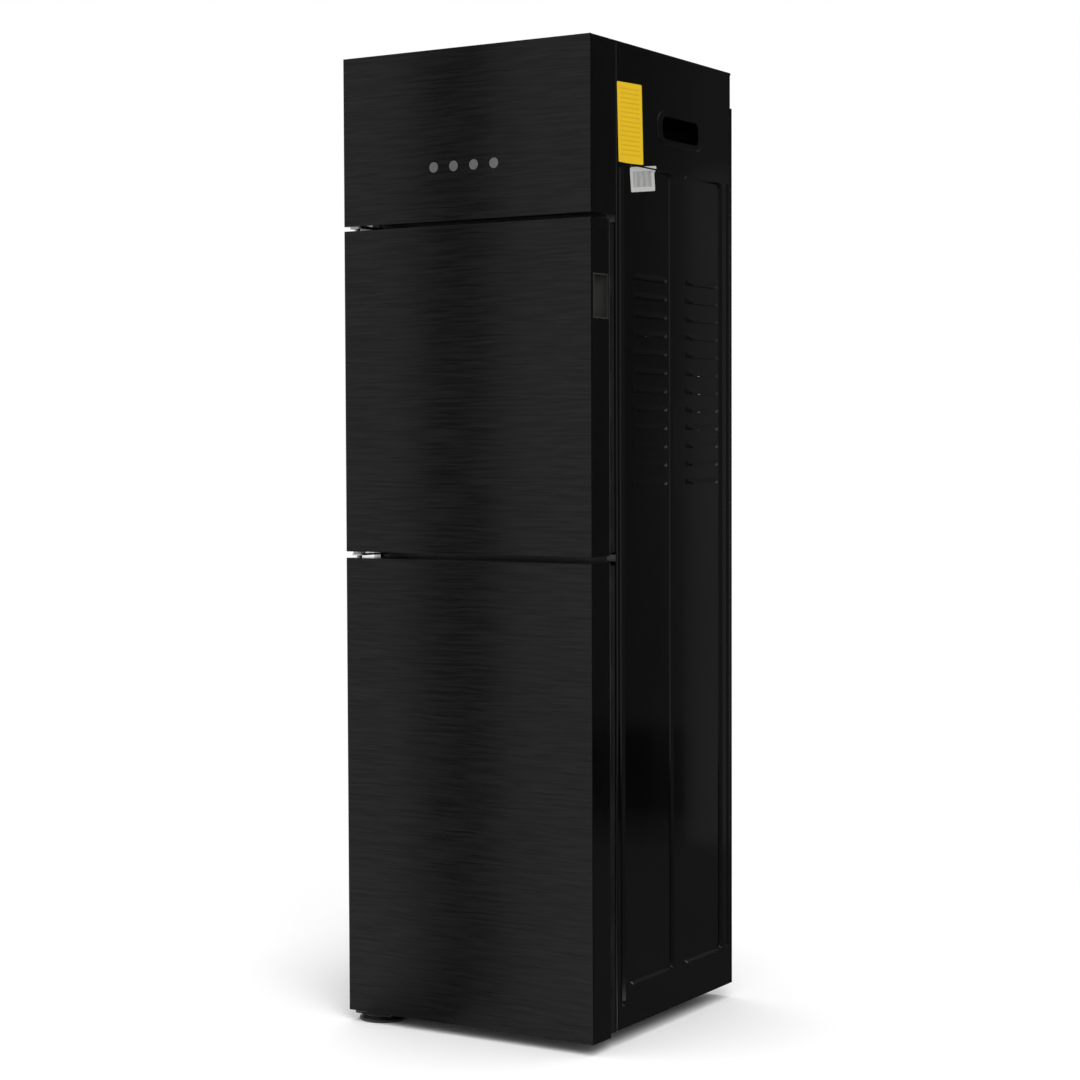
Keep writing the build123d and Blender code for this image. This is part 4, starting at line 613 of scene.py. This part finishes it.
# Floor and backdrop
# A plain pale floor that runs out to a white background. It keeps the soft shadow
# where the dispenser stands.
FLOOR_HALF = 9.0
FLOOR_DROP = 0.0003
WHITE_FROM, WHITE_FULL = 0.35, 1.1
ROOM_LIGHT = 0.62
shape = bmesh.new()
bmesh.ops.create_grid(shape, x_segments=1, y_segments=1, size=FLOOR_HALF)
bmesh.ops.translate(shape, verts=shape.verts, vec=(0, 0, -FLOOR_DROP))
floor_mesh = bpy.data.meshes.new("floor")
shape.to_mesh(floor_mesh)
shape.free()
floor = bpy.data.objects.new("floor", floor_mesh)
bpy.context.scene.collection.objects.link(floor)
floor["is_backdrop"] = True
floor_finish, shader, place = new_finish("floor_finish")
shader.inputs["Roughness"].default_value = 0.8
shader.inputs["Specular IOR Level"].default_value = 0.1
haze = grain(place, (1, 1, 1), 3, 3)
between(haze, (0.90, 0.90, 0.90), (0.93, 0.93, 0.93)).feed(shader, "Base Color")


def seen_rays(wire):
    """1 on rays that come straight from the camera, a gloss or a clear piece."""
    path = wire.node("LightPath", {}, {}, "Is Camera Ray")
    gloss = wire.node("LightPath", {}, {}, "Is Glossy Ray")
    clear = wire.node("LightPath", {}, {}, "Is Transmission Ray")
    return path.maths("MAXIMUM", path.maths("MAXIMUM", path, gloss), clear)


distance = place.node("VectorMath", {"operation": "LENGTH"}, {0: place}, "Value")
far = ease(distance, WHITE_FROM, WHITE_FULL)
white = place.node("Emission", {}, {"Color": (1, 1, 1, 1), "Strength": 1.0})
ground = Wire(place.tree, shader.outputs["BSDF"])
mixed = place.node("MixShader", {}, {0: far * seen_rays(place), 1: ground, 2: white})
place.tree.links.new(mixed.socket, place.tree.nodes["Material Output"].inputs["Surface"])
floor_mesh.materials.append(floor_finish)

world = bpy.data.worlds.new("room")
world.use_nodes = True
bpy.context.scene.world = world
air = Wire(world.node_tree)
dim = air.node("Background", {}, {"Color": (1, 1, 1, 1), "Strength": ROOM_LIGHT})
bright = air.node("Background", {}, {"Color": (1, 1, 1, 1), "Strength": 1.0})
room = air.node("MixShader", {}, {0: seen_rays(air), 1: dim, 2: bright})
world.node_tree.links.new(room.socket, world.node_tree.nodes["World Output"].inputs["Surface"])


# Lamps and flags
# A large soft lamp from the front right and one overhead. Grey cards that only
# reflections see keep the white room out of the glossy right side, with paler ones
# for the louvre ends, and a narrow one shades part of the fronts.
def soft_lamp(name, place, aim, size, power):
    """A square lamp turned towards a point, not seen in reflections."""
    lamp = bpy.data.lights.new(name, "AREA")
    lamp.shape = "SQUARE"
    lamp.size = size
    lamp.energy = power
    made = bpy.data.objects.new(name, lamp)
    made.location = place
    made.rotation_euler = (Vector(aim) - Vector(place)).to_track_quat("-Z", "Y").to_euler()
    made.visible_glossy = False
    bpy.context.scene.collection.objects.link(made)


soft_lamp("key_lamp", (2.4, -2.4, 2.6), (0, 0, 0.5), 2.0, 75)
soft_lamp("top_lamp", (0, -0.2, 3.4), (0, -0.2, 0), 3.0, 75)


def make_card(name, place, facing, width, height, tone):
    """A card of one grey tone that only reflections see."""
    shape = bmesh.new()
    bmesh.ops.create_grid(shape, x_segments=1, y_segments=1, size=0.5)
    bmesh.ops.scale(shape, verts=shape.verts, vec=(width, height, 1))
    turn = Vector(facing).to_track_quat("Z", "Y").to_matrix().to_4x4()
    shape.transform(Matrix.Translation(place) @ turn)
    mesh = bpy.data.meshes.new(name)
    shape.to_mesh(mesh)
    shape.free()
    cloth, shader, spread = new_finish(name + "_cloth")
    shader.inputs["Base Color"].default_value = (0, 0, 0, 1)
    shader.inputs["Specular IOR Level"].default_value = 0
    shader.inputs["Emission Strength"].default_value = 1
    weave = grain(spread, (1, 1, 1), 3, 2)
    between(weave, (0.85 * tone,) * 3, (1.15 * tone,) * 3).feed(shader, "Emission Color")
    mesh.materials.append(cloth)
    card = bpy.data.objects.new(name, mesh)
    bpy.context.scene.collection.objects.link(card)
    card.visible_camera = False
    card.visible_diffuse = False
    card.visible_shadow = False
    card.visible_transmission = False
    card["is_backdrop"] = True


SCREEN_START = Vector((0.598, 1.127, 0))
SCREEN_ALONG = Vector((0.883, -0.469, 0))
SCREEN_FACING = Vector((-0.469, -0.883, 0))


def make_screen(name, along, levels, lift, tone):
    """A card on the slanting screen behind the right side, between two places and two levels."""
    place = SCREEN_START + SCREEN_ALONG * sum(along) / 2 + SCREEN_FACING * lift
    place.z = sum(levels) / 2
    make_card(name, place, SCREEN_FACING, along[1] - along[0], levels[1] - levels[0], tone)


SCREEN_REAR, SCREEN_MIDDLE = -0.242, 0.116
SCREEN_LEVELS = (-0.5, 2.5)
CARD_LIFT = 0.01
HOOD_FRONT, HOOD_SPLIT, HOOD_STEP = 0.035, -0.115, 0.029
HOOD_LEVELS = (1.0, 1.17, 1.27, 1.37, 1.6)
END_REAR, END_SPLIT, END_FRONT = -0.23, -0.14, -0.09
END_LOW, END_LEVEL, END_HIGH = 0.45, 0.72, 1.0
make_screen("side_card", (SCREEN_MIDDLE, 1.005), SCREEN_LEVELS, 0, 0.045)
make_screen("rear_side_card", (SCREEN_REAR, SCREEN_MIDDLE), SCREEN_LEVELS, 0, 0.13)
make_screen("side_band", (SCREEN_MIDDLE, 1.0), (0.046, 0.193), CARD_LIFT, 0.01)
make_screen("top_rear_card", (HOOD_FRONT, SCREEN_MIDDLE), (1.09, 1.6), CARD_LIFT, 0.075)
for step, levels in enumerate(zip(HOOD_LEVELS, HOOD_LEVELS[1:])):
    split = HOOD_SPLIT - HOOD_STEP * step
    make_screen(f"hood_card_{step}", (split, HOOD_FRONT), levels, CARD_LIFT, 0.038)
    make_screen(f"rear_hood_card_{step}", (SCREEN_REAR, split), levels, CARD_LIFT, 0.10)
make_screen("flank_card", (-0.33, SCREEN_REAR), (0.5, 1.0), 0, 0.06)
make_screen("louvre_end_card", (END_SPLIT, END_FRONT), (END_LOW, END_LEVEL), CARD_LIFT, 0.4)
make_screen("upper_louvre_end_card", (END_SPLIT, END_FRONT), (END_LEVEL, END_HIGH), CARD_LIFT, 0.2)
make_screen("rear_louvre_end_card", (END_REAR, END_SPLIT), (END_LOW, END_LEVEL), CARD_LIFT, 0.27)
make_card("back_card", (0.0, 1.7, 1.9), (0, -1, -0.5), 2.8, 1.8, 0.05)
make_card("floor_card", (0.85, 1.15, 0.0005), (0, 0, 1), 2.6, 2.6, 0.07)
make_card("right_floor_card", (1.15, -0.75, 0.0007), (0, 0, 1), 1.6, 1.5, 0.12)
make_card("right_card", (1.1, -0.9, 1.0), (-0.77, 0.63, 0), 2.6, 3.0, 0.15)
make_card("front_card", (-0.202, -0.45, 0.8), (0, 1, 0), 0.106, 2.4, 0.27)
make_card("front_floor_card", (-0.107, -0.307, 0.0006), (0, 0, 1), 0.12, 0.28, 0.3)


# Camera
# It stands to the right of the front, a little above the middle of the cabinet's
# height, where the photograph's straight edges put it.
CAMERA_PLACE = (1.4227, -2.3226, 0.6509)
YAW, PITCH, ROLL = math.radians(31.577), math.radians(2.292), math.radians(-0.204)
LENS_MM = 79.05
SENSOR_MM = 36
camera = bpy.data.cameras.new("camera")
camera.lens = LENS_MM
camera.sensor_width = SENSOR_MM
camera_object = bpy.data.objects.new("camera", camera)
pitched = Matrix.Rotation(math.pi / 2 - PITCH, 4, "X")
turn = Matrix.Rotation(YAW, 4, "Z") @ pitched @ Matrix.Rotation(ROLL, 4, "Z")
camera_object.matrix_world = Matrix.Translation(CAMERA_PLACE) @ turn
bpy.context.scene.collection.objects.link(camera_object)
bpy.context.scene.camera = camera_object
bpy.context.scene.view_settings.view_transform = "Standard"

low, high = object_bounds()
